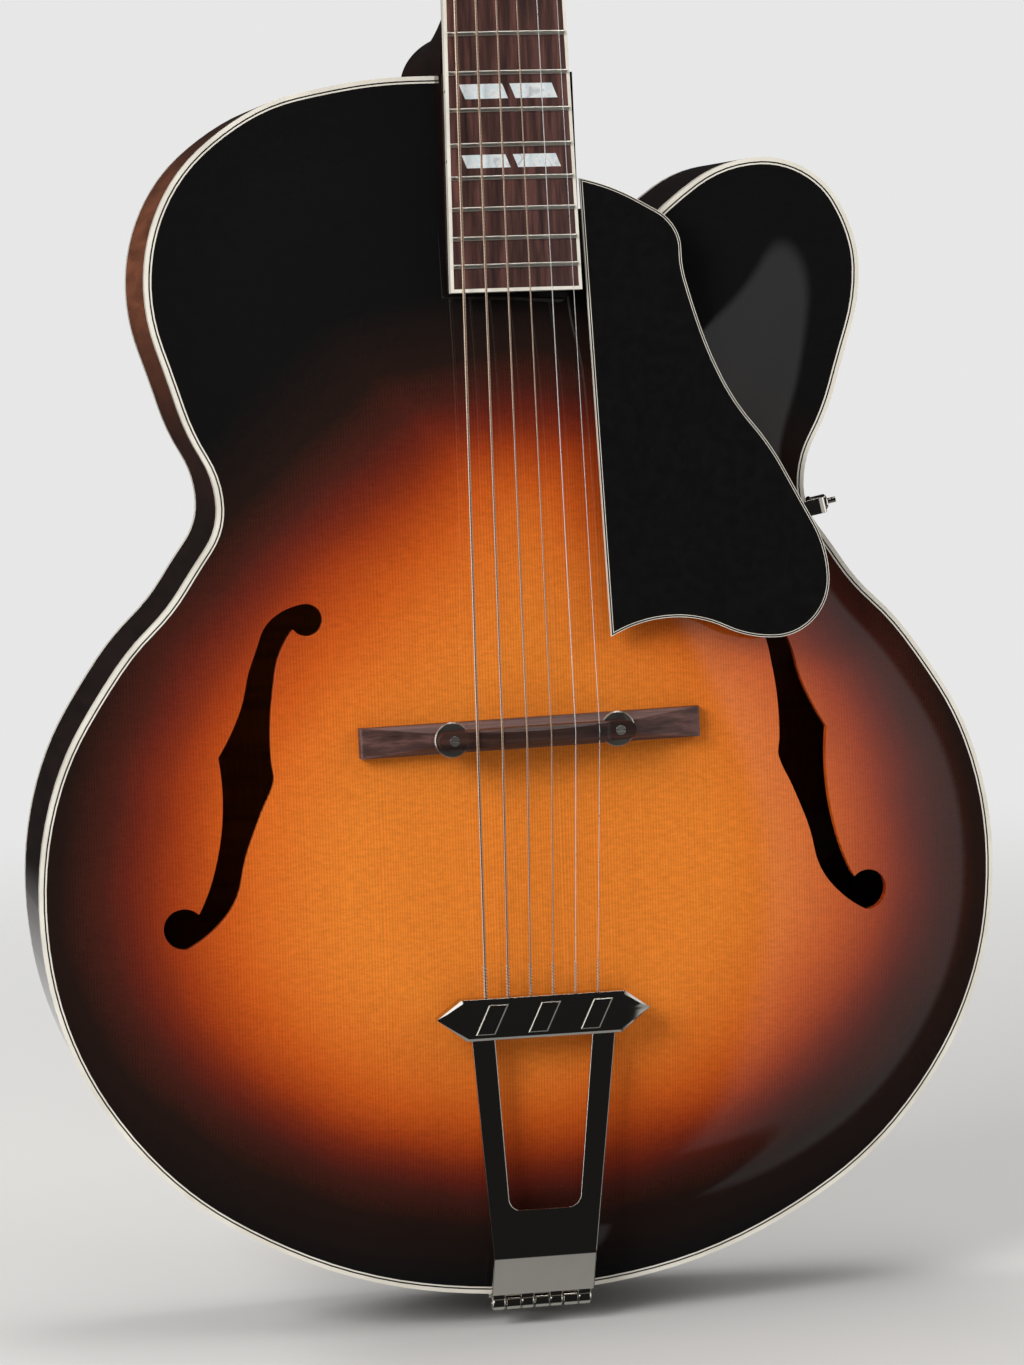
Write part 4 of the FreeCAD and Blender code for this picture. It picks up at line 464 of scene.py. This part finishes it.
# Aged celluloid: warm off-white with faint cloudy yellowing and a soft polish.
cream, tree, place = new_material("celluloid_binding_cream")
cloud = add(tree, "ShaderNodeTexNoise", {"Vector": place, "Scale": 45.0, "Detail": 4.0}).outputs["Fac"]
surface(tree, {
    "Base Color": coloured(tree, cloud, (0.3, "#C9C3B6"), (0.7, "#DDD8CC")),
    "Roughness": 0.25, "IOR": 1.5, "Coat Weight": 0.5, "Coat Roughness": 0.05})
dress(cream, "top_binding", "back_binding")

# Dyed fibre: flat black with a faint speckle of threads, under the lacquer's shine.
black_fibre, tree, place = new_material("dyed_fibre_black")
thread = add(tree, "ShaderNodeTexNoise", {"Vector": place, "Scale": 600.0, "Detail": 2.0}).outputs["Fac"]
surface(tree, {
    "Base Color": coloured(tree, thread, (0.3, "#0B0909"), (0.7, "#171312")),
    "Roughness": 0.5, "Coat Weight": 1.0, "Coat Roughness": 0.05, "Coat IOR": 1.5})


def shaped_piece(name, shape, *materials):
    """A worked shape, put into the scene as a piece."""
    mesh = bpy.data.meshes.new(name)
    shape.to_mesh(mesh)
    shape.free()
    return new_piece(name, mesh, *materials)


def ply_ring(name, outer, inner, shares, depth, materials):
    """A flat ring between two closed lines, split into plies at shares of its width."""
    near = []
    for point in outer:
        best = None
        for a, b in zip(inner, inner[1:] + inner[:1]):
            run = b - a
            share = max(0.0, min(1.0, (point - a).dot(run) / max(run.length_squared, LEAST_SQUARE)))
            spot = a + run * share
            if best is None or (spot - point).length_squared < (best - point).length_squared:
                best = spot
        near.append(best)
    shape = bmesh.new()
    front = [[shape.verts.new(a.lerp(b, share)) for share in shares] for a, b in zip(outer, near)]
    deep = Vector((0, depth, 0))
    back = [[shape.verts.new(vert.co + deep) for vert in (row[0], row[-1])] for row in front]
    count = len(front)
    for i in range(count):
        row, ahead = front[i], front[(i + 1) % count]
        for j in range(len(shares) - 1):
            shape.faces.new((row[j], row[j + 1], ahead[j + 1], ahead[j])).material_index = j
        under, onward = back[i], back[(i + 1) % count]
        shape.faces.new((row[0], ahead[0], onward[0], under[0])).material_index = 0
        shape.faces.new((row[-1], under[1], onward[1], ahead[-1])).material_index = len(shares) - 2
    bmesh.ops.recalc_face_normals(shape, faces=shape.faces)
    return shaped_piece(name, shape, *materials)


# The plies' joints, as shares of the strip's width from its outer line, and the strip's depth.
PURFLING_PLIES = (0.0, 0.45, 0.9, 1.0)
PURFLING_DEPTH = 0.0015
purfling_outer, purfling_inner = rim_lines("top_purfling")[:2]
purfling = ply_ring("purfling_plies", purfling_outer, purfling_inner, PURFLING_PLIES, PURFLING_DEPTH,
                    (black_fibre, cream, black_fibre))
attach(purfling, "guitar")
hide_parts("top_purfling")


# Pickguard: sawn from black celluloid sheet, its edge bound in white and black, polished. It stands
# clear of the top on a block at the neck and a plated bracket that a thumb nut holds at the waist.

# Polished black celluloid: deep black with a faint brown cast and fine hairline wear in the shine.
black, tree, place = new_material("black_celluloid_polished")
wear = add(tree, "ShaderNodeTexNoise", {"Vector": place, "Scale": 220.0, "Detail": 5.0}).outputs["Fac"]
surface(tree, {
    "Base Color": coloured(tree, wear, (0.3, "#0D0C0C"), (0.7, "#111010")),
    "Roughness": ranged(tree, wear, 0.3, 0.7, 0.09, 0.12), "IOR": 1.5})
dress(black, "pickguard", "pickguard_block", "headstock_veneer", "truss_rod_cover", "heel_cap",
      "side_dots", "end_pin")

GUARD_PLIES = (0.0, 0.2, 0.7, 0.9, 1.0)
GUARD_DEPTH = 0.0023
guard_outer, guard_inner = rim_lines("pickguard_binding")[:2]
guard_trim = ply_ring("pickguard_plies", guard_outer, guard_inner, GUARD_PLIES, GUARD_DEPTH,
                      (cream, black_fibre, cream, black_fibre))
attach(guard_trim, "guitar")
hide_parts("pickguard_binding")


# Fingerboard: dark rosewood, planed to a radius and oiled, bound in cream celluloid with black side
# dots, let in with pearl blocks and fretted with nickel silver wire; a bone nut stands at its top.

# Oiled rosewood: near-black brown with red streaks along the grain and open pores about 0.7 mm
# apart, drawn a little long so that they show.
def rosewood(name, grain, dark, middle, light):
    """Rosewood with its grain along one axis, in three browns."""
    made, tree, place = new_material(name)
    across = [1 - share for share in grain]
    streak = grained(tree, place, [9 * g + 330 * a for g, a in zip(grain, across)], 5.0, Roughness=0.65)
    pores = grained(tree, place, [60 * g + 1400 * a for g, a in zip(grain, across)], 2.0)
    surface(tree, {
        "Base Color": coloured(tree, streak, (0.3, dark), (0.5, middle), (0.7, light)),
        "Roughness": 0.42, "Normal": bumped(tree, pores, 0.35, 0.0004)})
    return made


dress(rosewood("rosewood_board_oiled", (0, 0, 1), "#241817", "#402824", "#643F38"), "fingerboard")
dress(cream, "fingerboard_binding")


# Metal: a near mirror or a drawn wire, with light handling haze that breaks the shine up.
def metal(name, tint, low, high, ease=0.0003):
    """Metal whose roughness wanders between two values, with its edges eased by a width."""
    made, tree, place = new_material(name)
    haze = add(tree, "ShaderNodeTexNoise", {"Vector": place, "Scale": 130.0, "Detail": 4.0}).outputs["Fac"]
    surface(tree, {
        "Base Color": linear(tint), "Metallic": 1.0, "Roughness": ranged(tree, haze, 0.3, 0.7, low, high),
        "Normal": add(tree, "ShaderNodeBevel", {"Radius": ease}, samples=6).outputs[0]})
    return made


dress(metal("nickel_silver_drawn", "#DDD8CC", 0.34, 0.42, ease=0.0), "frets")

# Mother-of-pearl: milky white with grey and faint rose or green clouds 6 mm across.
pearl, tree, place = new_material("mother_of_pearl_polished")
figure = add(tree, "ShaderNodeTexNoise", {
    "Vector": place, "Scale": 160.0, "Detail": 3.0, "Distortion": 1.5}).outputs["Fac"]
colour = coloured(tree, figure, (0.3, "#A9B0B4"), (0.45, "#D0D1CF"), (0.6, "#BCC9CE"), (0.75, "#DAD4CE"))
surface(tree, {"Base Color": colour, "Roughness": 0.18, "IOR": 1.53})
dress(pearl, "position_markers")

# Polished bone: ivory white with faint brown flecks along it.
bone, tree, place = new_material("bone_polished")
fleck = grained(tree, place, (120, 900, 900), 3.0)
surface(tree, {
    "Base Color": coloured(tree, fleck, (0.3, "#D9CFB8"), (0.6, "#ECE5D3")), "Roughness": 0.3, "IOR": 1.54})
dress(bone, "nut")


# Tuners and small hardware: stamped housings, turned posts and cast keys, nickel plated and polished,
# held to the headstock by small steel screws; the truss rod is steel with a brass nut.

nickel = metal("nickel_plate_polished", "#CBC6BD", 0.04, 0.10)
steel = metal("steel_turned", "#B9B8B5", 0.22, 0.34)
brass = metal("brass_turned", "#C9A253", 0.2, 0.32)
dress(nickel, "tuner_housings", "tuner_bushings", "pickguard_bracket", "pickguard_nut",
      *[f"tuner_key_{n}" for n in range(1, 7)], *[f"tuner_post_{n}" for n in range(1, 7)])
dress(steel, "truss_rod", "wood_screws")
dress(brass, "truss_rod_nut")


# Bridge: a rosewood base fitted to the top, and a rosewood saddle carried by two threaded posts
# and nickel plated thumbwheels that raise and lower it. It stands loose under the strings.

dress(rosewood("rosewood_base_oiled", (1, 0, 0), "#2A1C1A", "#452E2A", "#684842"), "bridge_base")
dress(rosewood("rosewood_saddle_oiled", (1, 0, 0), "#180E0B", "#2A1813", "#43281F"), "bridge_saddle")
dress(metal("nickel_plate_turned", "#A8A39B", 0.26, 0.4), "thumbwheel_bass", "thumbwheel_treble")
dress(metal("nickel_plate_threaded", "#D8D4CC", 0.3, 0.4), "bridge_posts")


# Tailpiece: a frame stamped from brass sheet with a cast crossbar, nickel plated and polished. It
# swings on a hinge at the tail; the crossbar holds the strings by brass ball ends.

dress(nickel, "tail_bracket", "hinge_pin")
dress(brass, "ball_ends")

# In radians: facets turned less than the first are one face, and an edge turned more than the second
# stays sharp in the shine.
ONE_FACE = math.radians(1)
SHARP_EDGE = 0.3


def whole_faces(name):
    """A CAD piece's shape with its facets joined into whole faces."""
    shape = bmesh.new()
    shape.from_mesh(cad[name].data)
    bmesh.ops.remove_doubles(shape, verts=shape.verts, dist=WELD)
    bmesh.ops.dissolve_limit(shape, angle_limit=ONE_FACE, verts=shape.verts, edges=shape.edges)
    return shape


def ease_edges(shape, edges, width):
    """Takes the sharpness off edges, in two facets."""
    bmesh.ops.bevel(shape, geom=edges, offset=width, segments=2, profile=0.5, affect="EDGES")


def plated(name, shape, node):
    """Takes a CAD piece's place on the tailpiece, polished and plated, with its sharp edges kept."""
    shape.normal_update()
    for face in shape.faces:
        face.smooth = True
    for edge in shape.edges:
        edge.smooth = len(edge.link_faces) == 2 and edge.calc_face_angle() < SHARP_EDGE
    piece = shaped_piece(name, shape, nickel)
    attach(piece, "tailpiece")
    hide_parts(node)


# The crossbar's ends slope back to their points; its outline and raised marks have eased edges.
CROSSBAR_FRONT = -0.0755
CROSSBAR_LEVEL = 1e-5
CROSSBAR_END = 0.044
END_SLOPES = (-0.0425, 0.0375)
MARK_EASE = 0.0005
SHEET_EASE = 0.0004
crossbar = whole_faces("tailpiece_crossbar")
mark_edges = [edge for edge in crossbar.edges if len(edge.link_faces) == 2
              and all(vert.co.y < CROSSBAR_FRONT - MARK_EASE for vert in edge.verts)]
ease_edges(crossbar, mark_edges, MARK_EASE)
for vert in crossbar.verts:
    if abs(vert.co.y - CROSSBAR_FRONT) < CROSSBAR_LEVEL and abs(vert.co.x) > CROSSBAR_END:
        vert.co.x = END_SLOPES[vert.co.x > 0]
crossbar.normal_update()
front_edges = [edge for edge in crossbar.edges if len(edge.link_faces) == 2
               and all(abs(vert.co.y - CROSSBAR_FRONT) < CROSSBAR_LEVEL for vert in edge.verts)
               and edge.calc_face_angle_signed() > SHARP_EDGE]
ease_edges(crossbar, front_edges, SHEET_EASE)
plated("crossbar_plated", crossbar, "tailpiece_crossbar")

# The frame's sheet ends above the hinge, and every second leaf of the hinge hangs from it by a tongue
# as a round knuckle. Rings round its ends off: how far in each lies, and its share of the radius.
HINGE_AXIS = Vector((0, -0.0466, -0.0028))
HINGE_RADIUS = 0.0032
HINGE_STEP = 0.0066
HINGE_CUT = 0.0018
HINGE_LEAVES = 7
KNUCKLE_GAP = 0.0003
KNUCKLE_RINGS = ((0.0, 0.7), (0.0003, 0.88), (0.0009, 1.0))
KNUCKLE_SIDES = 32
TONGUE_SIZE = (HINGE_STEP - 0.0009, 0.0018, 0.0055)
TONGUE_PLACE = Vector((0, -0.0013, 0.0027))
SHEET_CORNER = 1.0
SHEET_FACING = -0.5


def ring(shape, centre, aside, over, radius, sides):
    """A circle of points about a centre, in the plane of two directions."""
    return [shape.verts.new(centre + (aside * math.cos(angle) + over * math.sin(angle)) * radius)
            for angle in [2 * math.pi * j / sides for j in range(sides)]]


def tube(shape, rings):
    """Smooth walls from ring to ring, and the two end faces, which it gives back."""
    for low, high in zip(rings, rings[1:]):
        for j in range(len(low)):
            k = (j + 1) % len(low)
            shape.faces.new((low[j], low[k], high[k], high[j])).smooth = True
    return shape.faces.new(rings[0][::-1]), shape.faces.new(rings[-1])


sheet = whole_faces("tailpiece_frame")
bmesh.ops.bisect_plane(sheet, geom=[*sheet.verts, *sheet.edges, *sheet.faces],
                       plane_co=(0, 0, HINGE_CUT), plane_no=(0, 0, 1), clear_inner=True)
bmesh.ops.holes_fill(sheet, edges=[edge for edge in sheet.edges if edge.is_boundary])
sheet.normal_update()
sheet_edges = [edge for edge in sheet.edges if len(edge.link_faces) == 2
               and edge.calc_face_angle_signed() > SHEET_CORNER
               and any(face.normal.y < SHEET_FACING for face in edge.link_faces)]
ease_edges(sheet, sheet_edges, SHEET_EASE)
for number in range(0, HINGE_LEAVES, 2):
    left = HINGE_STEP * (number - HINGE_LEAVES / 2) + KNUCKLE_GAP / 2
    right = left + HINGE_STEP - KNUCKLE_GAP
    stations = [(left + inward, share) for inward, share in KNUCKLE_RINGS]
    stations += [(right - inward, share) for inward, share in reversed(KNUCKLE_RINGS)]
    tube(sheet, [ring(sheet, HINGE_AXIS + Vector((x, 0, 0)), Vector((0, 1, 0)), Vector((0, 0, 1)),
                      HINGE_RADIUS * share, KNUCKLE_SIDES) for x, share in stations])
    knuckle_middle = HINGE_AXIS + Vector(((left + right) / 2, 0, 0))
    tongue = bmesh.ops.create_cube(sheet, size=1.0)["verts"]
    bmesh.ops.scale(sheet, vec=TONGUE_SIZE, verts=tongue)
    bmesh.ops.translate(sheet, vec=knuckle_middle + TONGUE_PLACE, verts=tongue)
bmesh.ops.recalc_face_normals(sheet, faces=sheet.faces)
plated("frame_plated", sheet, "tailpiece_frame")


# Strings: four steel cores wound with bronze wire and two plain steel wires, hooked in the
# crossbar by their twisted ball ends and drawn over saddle and nut to the posts.

# Wound bronze: fine turns across the wire, drawn 0.6 mm apart so that they show, with painted shade in the
# grooves between turns.
bronze_wire, tree, place = new_material("bronze_wound_string")
turns = add(tree, "ShaderNodeTexWave", {"Vector": place, "Scale": 523.0, "Distortion": 0.0},
            bands_direction="Z").outputs["Fac"]
# The colour runs from dark in the grooves to light on the turns: painted groove shade, on top of the bump's
# real shading.
surface(tree, {
    "Base Color": coloured(tree, turns, (0.2, "#B4917A"), (0.8, "#F2DCC6")),
    "Metallic": 1.0, "Roughness": 0.38, "Normal": bumped(tree, turns, 0.5, 0.0001)})
plain_wire = metal("plain_steel_string", "#ECEBE8", 0.26, 0.32, ease=0.0)

# A string's ends and its bends are read from its CAD tube: the points within a ring's height of each
# end, and those level with the saddle and with the nut. Its lower part is split in two at a share of
# the run from saddle to tail.
STRING_RADII = (0.000675, 0.000535, 0.000405, 0.000305, 0.000205, 0.00015)
WOUND_STRINGS = 4
STRING_STEP = 0.006
STRING_SIDES = 12
END_RING = 0.001
SADDLE_HEIGHTS = [corner.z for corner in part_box("bridge_saddle")]
NUT_HEIGHTS = [corner.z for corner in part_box("nut")]
TAIL_BEND = 0.25

# The twist is the string's own end, wound back round it above the ball.
TWIST_LENGTH = 0.016
TWIST_TURNS = 11
TWIST_STEPS = 12 * TWIST_TURNS
TWIST_RADIUS = 0.00024
TWIST_LIFT = 0.00022
TWIST_SIDES = 6


def string_spot(name, low, high):
    """The middle of the points that a CAD string has between two heights."""
    spots = [vert.co for vert in cad[name].data.vertices if low <= vert.co.z <= high]
    return Vector([(min(axis) + max(axis)) / 2 for axis in zip(*spots)])


def wire(name, points, radius, material, sides=STRING_SIDES):
    """A round wire along points, closed at both ends."""
    shape = bmesh.new()
    rings = []
    aside = Vector((1, 0, 0))
    for i, point in enumerate(points):
        ahead = (points[min(i + 1, len(points) - 1)] - points[max(i - 1, 0)]).normalized()
        aside = (aside - ahead * aside.dot(ahead)).normalized()
        rings.append(ring(shape, point, aside, ahead.cross(aside), radius, sides))
    for cap in tube(shape, rings):
        for edge in cap.edges:
            edge.smooth = False
    return shaped_piece(name, shape, material)


def even_steps(start, end):
    """Points at even steps from one place to another."""
    count = max(2, int((end - start).length / STRING_STEP))
    return [start.lerp(end, i / count) for i in range(count + 1)]


for n, radius in enumerate(STRING_RADII):
    low, high = [corner.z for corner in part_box(f"string_{n + 1}")]
    tail, saddle, nut, post = [string_spot(f"string_{n + 1}", *heights) for heights in (
        (low, low + END_RING), SADDLE_HEIGHTS, NUT_HEIGHTS, (high - END_RING, high))]
    material = bronze_wire if n < WOUND_STRINGS else plain_wire
    middle = saddle.lerp(tail, TAIL_BEND)
    head_run = wire(f"string_{n + 1}_head", even_steps(nut, post), radius, material)
    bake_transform(head_run)
    long_run = wire(f"string_{n + 1}_speaking", even_steps(saddle, nut), radius, material)
    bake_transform(long_run)
    upper_run = wire(f"string_{n + 1}_after_saddle", even_steps(saddle, middle), radius, material)
    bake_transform(upper_run)
    lower_run = wire(f"string_{n + 1}_to_tail", even_steps(middle, tail), radius, material)
    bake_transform(lower_run)
    ahead = (saddle - tail).normalized()
    side = ahead.cross(Vector((1, 0, 0))).normalized()
    out = side.cross(ahead)
    coil = []
    for share in [i / TWIST_STEPS for i in range(TWIST_STEPS + 1)]:
        angle = 2 * math.pi * TWIST_TURNS * share
        around = side * math.cos(angle) + out * math.sin(angle)
        coil.append(tail + ahead * (TWIST_LENGTH * share) + around * (radius + TWIST_LIFT))
    twist = wire(f"string_{n + 1}_twist", coil, TWIST_RADIUS, plain_wire, sides=TWIST_SIDES)
    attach(twist, "tailpiece")
    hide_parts(f"string_{n + 1}")


# Studio: a pale floor that fades into a pale surround, soft lamps to the left, right, above and
# behind, and a dim room that mirrored rays see, whose lighter panel and glows show in the lacquer.

FLOOR_RADIUS = 5.0
FLOOR_SIDES = 64
FLOOR_GAP = 0.0005
FLOOR_FADE = (0.4, 2.0)
FLOOR_UNMIRRORED = (-0.03, -0.06)

# Pale paper: even light grey with a fine tooth. It fades away far off, and in front of the body it
# hides from mirrored rays, so that it lays no bright arc in the lacquer.
paper, tree, place = new_material("floor_pale_paper")
tooth = add(tree, "ShaderNodeTexNoise", {"Vector": place, "Scale": 300.0, "Detail": 2.0}).outputs["Fac"]
solid = add(tree, "ShaderNodeBsdfPrincipled", {
    "Base Color": linear("#B9B8B6"), "Roughness": 0.9, "Normal": bumped(tree, tooth, 0.05, 0.001)})
clear = add(tree, "ShaderNodeBsdfTransparent")
far_off = ranged(tree, vector_maths(tree, "LENGTH", place), *FLOOR_FADE, interpolation_type="SMOOTHSTEP")
depth = add(tree, "ShaderNodeSeparateXYZ", {0: place}).outputs["Y"]
in_front = ranged(tree, depth, *FLOOR_UNMIRRORED, interpolation_type="SMOOTHSTEP")
glossy = add(tree, "ShaderNodeLightPath").outputs["Is Glossy Ray"]
fade = maths(tree, "MAXIMUM", far_off, maths(tree, "MULTIPLY", in_front, glossy))
mixed = add(tree, "ShaderNodeMixShader", {0: fade, 1: solid.outputs[0], 2: clear.outputs[0]})
add(tree, "ShaderNodeOutputMaterial", {"Surface": mixed.outputs[0]})

shape = bmesh.new()
bmesh.ops.create_circle(shape, cap_ends=True, segments=FLOOR_SIDES, radius=FLOOR_RADIUS)
floor = shaped_piece("floor", shape, paper)
floor.location.z = cad_box[0].z - FLOOR_GAP


def toward(azimuth, elevation):
    """A direction in the room: azimuth from straight ahead of the top towards the treble side."""
    a, e = math.radians(azimuth), math.radians(elevation)
    return Vector((math.sin(a) * math.cos(e), -math.cos(a) * math.cos(e), math.sin(e)))


# One soft panel stands on the treble side, dimmer towards the floor. Each of its four sides is the
# plane of two directions, with a blur. Round glows stand to both sides, low and high, and one below:
# azimuth, elevation and reach in degrees, then strength. The first stands in for the key lamp.
PANEL_FALL = (-0.55, 0.0)
PANEL_LEVELS = (0.3, 0.58)
PANEL_SIDES = ((toward(20, 10), toward(25, -28), 0.03), (toward(45, 22), toward(20, 13), 0.02),
               (toward(25, -36), toward(45, -38), 0.025), (toward(70, -28), toward(70, 10), 0.1))
GLOWS = ((-54, 28, 13, 3.0), (-82, 0, 28, 2.4), (98, 4, 26, 1.4), (0, -90, 36, 0.35),
         (-24, 44, 16, 0.8), (-68, 55, 15, 1.6), (96, 40, 15, 1.0))
GLOW_EDGE = 6
DIM_LEVEL = 0.015
FILL_LEVEL = 0.38
SURROUND_LEVEL = 0.80
room = bpy.data.worlds.new("dim_room")
bpy.context.scene.world = room
room.use_nodes = True
tree = room.node_tree
tree.nodes.clear()
look = add(tree, "ShaderNodeTexCoord").outputs["Generated"]
rays = add(tree, "ShaderNodeLightPath").outputs
rise = add(tree, "ShaderNodeSeparateXYZ", {0: look}).outputs["Z"]
shine = ranged(tree, rise, *PANEL_FALL, *PANEL_LEVELS)
for first, second, blur in PANEL_SIDES:
    off_plane = vector_maths(tree, "DOT_PRODUCT", look, first.cross(second).normalized())
    within_side = ranged(tree, off_plane, -blur, blur, interpolation_type="SMOOTHSTEP")
    shine = maths(tree, "MULTIPLY", shine, within_side)
for azimuth, elevation, reach, strength in GLOWS:
    facing = vector_maths(tree, "DOT_PRODUCT", look, toward(azimuth, elevation))
    rim, full = [math.cos(math.radians(angle)) for angle in (reach, reach - GLOW_EDGE)]
    glow = ranged(tree, facing, rim, full, high=strength, interpolation_type="SMOOTHSTEP")
    shine = maths(tree, "ADD", shine, glow)
shine = maths(tree, "ADD", shine, DIM_LEVEL)
mirrored = maths(tree, "MAXIMUM", rays["Is Glossy Ray"], rays["Is Transmission Ray"])
level = add(tree, "ShaderNodeMix", {"Factor": mirrored, 2: FILL_LEVEL, 3: shine}).outputs[0]
shown = add(tree, "ShaderNodeMix", {"Factor": rays["Is Camera Ray"], 2: level, 3: SURROUND_LEVEL}).outputs[0]
sky = add(tree, "ShaderNodeBackground", {"Color": (1, 1, 1, 1), "Strength": shown})
add(tree, "ShaderNodeOutputWorld", {"Surface": sky.outputs[0]})

# Each lamp's place, what it points at, its side in metres and its power. The key and the fill don't
# show in mirrors, because their own images are too bright on flat lacquer.
LAMPS = (("key_lamp", (-1.9, -1.5, 1.5), (0, 0, 0.25), 1.3, 80),
         ("fill_lamp", (1.9, -1.0, 1.3), (0, 0, 0.3), 1.0, 21),
         ("top_lamp", (0.3, 0.2, 2.8), (0, 0, 0.4), 1.4, 30),
         ("back_lamp", (-2.0, 1.6, 2.0), (0, 0, 0.4), 1.2, 40))
UNMIRRORED_LAMPS = ("key_lamp", "fill_lamp")
for name, spot, aim, size, power in LAMPS:
    lamp = bpy.data.lights.new(name, "AREA")
    lamp.shape = "SQUARE"
    lamp.size = size
    lamp.energy = power
    holder = bpy.data.objects.new(name, lamp)
    holder.location = spot
    holder.rotation_euler = (Vector(aim) - Vector(spot)).to_track_quat("-Z", "Y").to_euler()
    holder.visible_glossy = name not in UNMIRRORED_LAMPS
    bpy.context.scene.collection.objects.link(holder)

# The camera stands a little to the bass side and above, as in the photograph, for a 1024 by 1365
# frame. Its turn, its place and its focal length in pixels were solved from the photograph.
CAMERA_ROLL, CAMERA_TILT, CAMERA_SWING = -1.831, 5.132, 10.82
CAMERA_TARGET = Vector((0, -0.040, 0.260))
CAMERA_OFFSET = Vector((-0.003703, -1.862502, 0.01921))
CAMERA_DROP = 0.0013
FOCAL_PIXELS = 4141.844
FRAME_HEIGHT = 1365
SENSOR = 36.0
turn = (Matrix.Rotation(math.radians(CAMERA_ROLL), 3, "Y")
        @ Matrix.Rotation(math.radians(CAMERA_TILT), 3, "X")
        @ Matrix.Rotation(math.radians(CAMERA_SWING), 3, "Z")).transposed()
stand = CAMERA_TARGET + turn @ CAMERA_OFFSET
stand.z -= CAMERA_DROP
lens = bpy.data.cameras.new("camera")
lens.sensor_width = SENSOR
lens.lens = FOCAL_PIXELS * SENSOR / FRAME_HEIGHT
camera = bpy.data.objects.new("camera", lens)
right, forward, up = [turn @ Vector(axis) for axis in ((1, 0, 0), (0, 1, 0), (0, 0, 1))]
camera.matrix_world = Matrix((
    (right.x, up.x, -forward.x, stand.x), (right.y, up.y, -forward.y, stand.y),
    (right.z, up.z, -forward.z, stand.z), (0, 0, 0, 1)))
bpy.context.scene.collection.objects.link(camera)
bpy.context.scene.camera = camera
bpy.context.scene.view_settings.view_transform = "Standard"
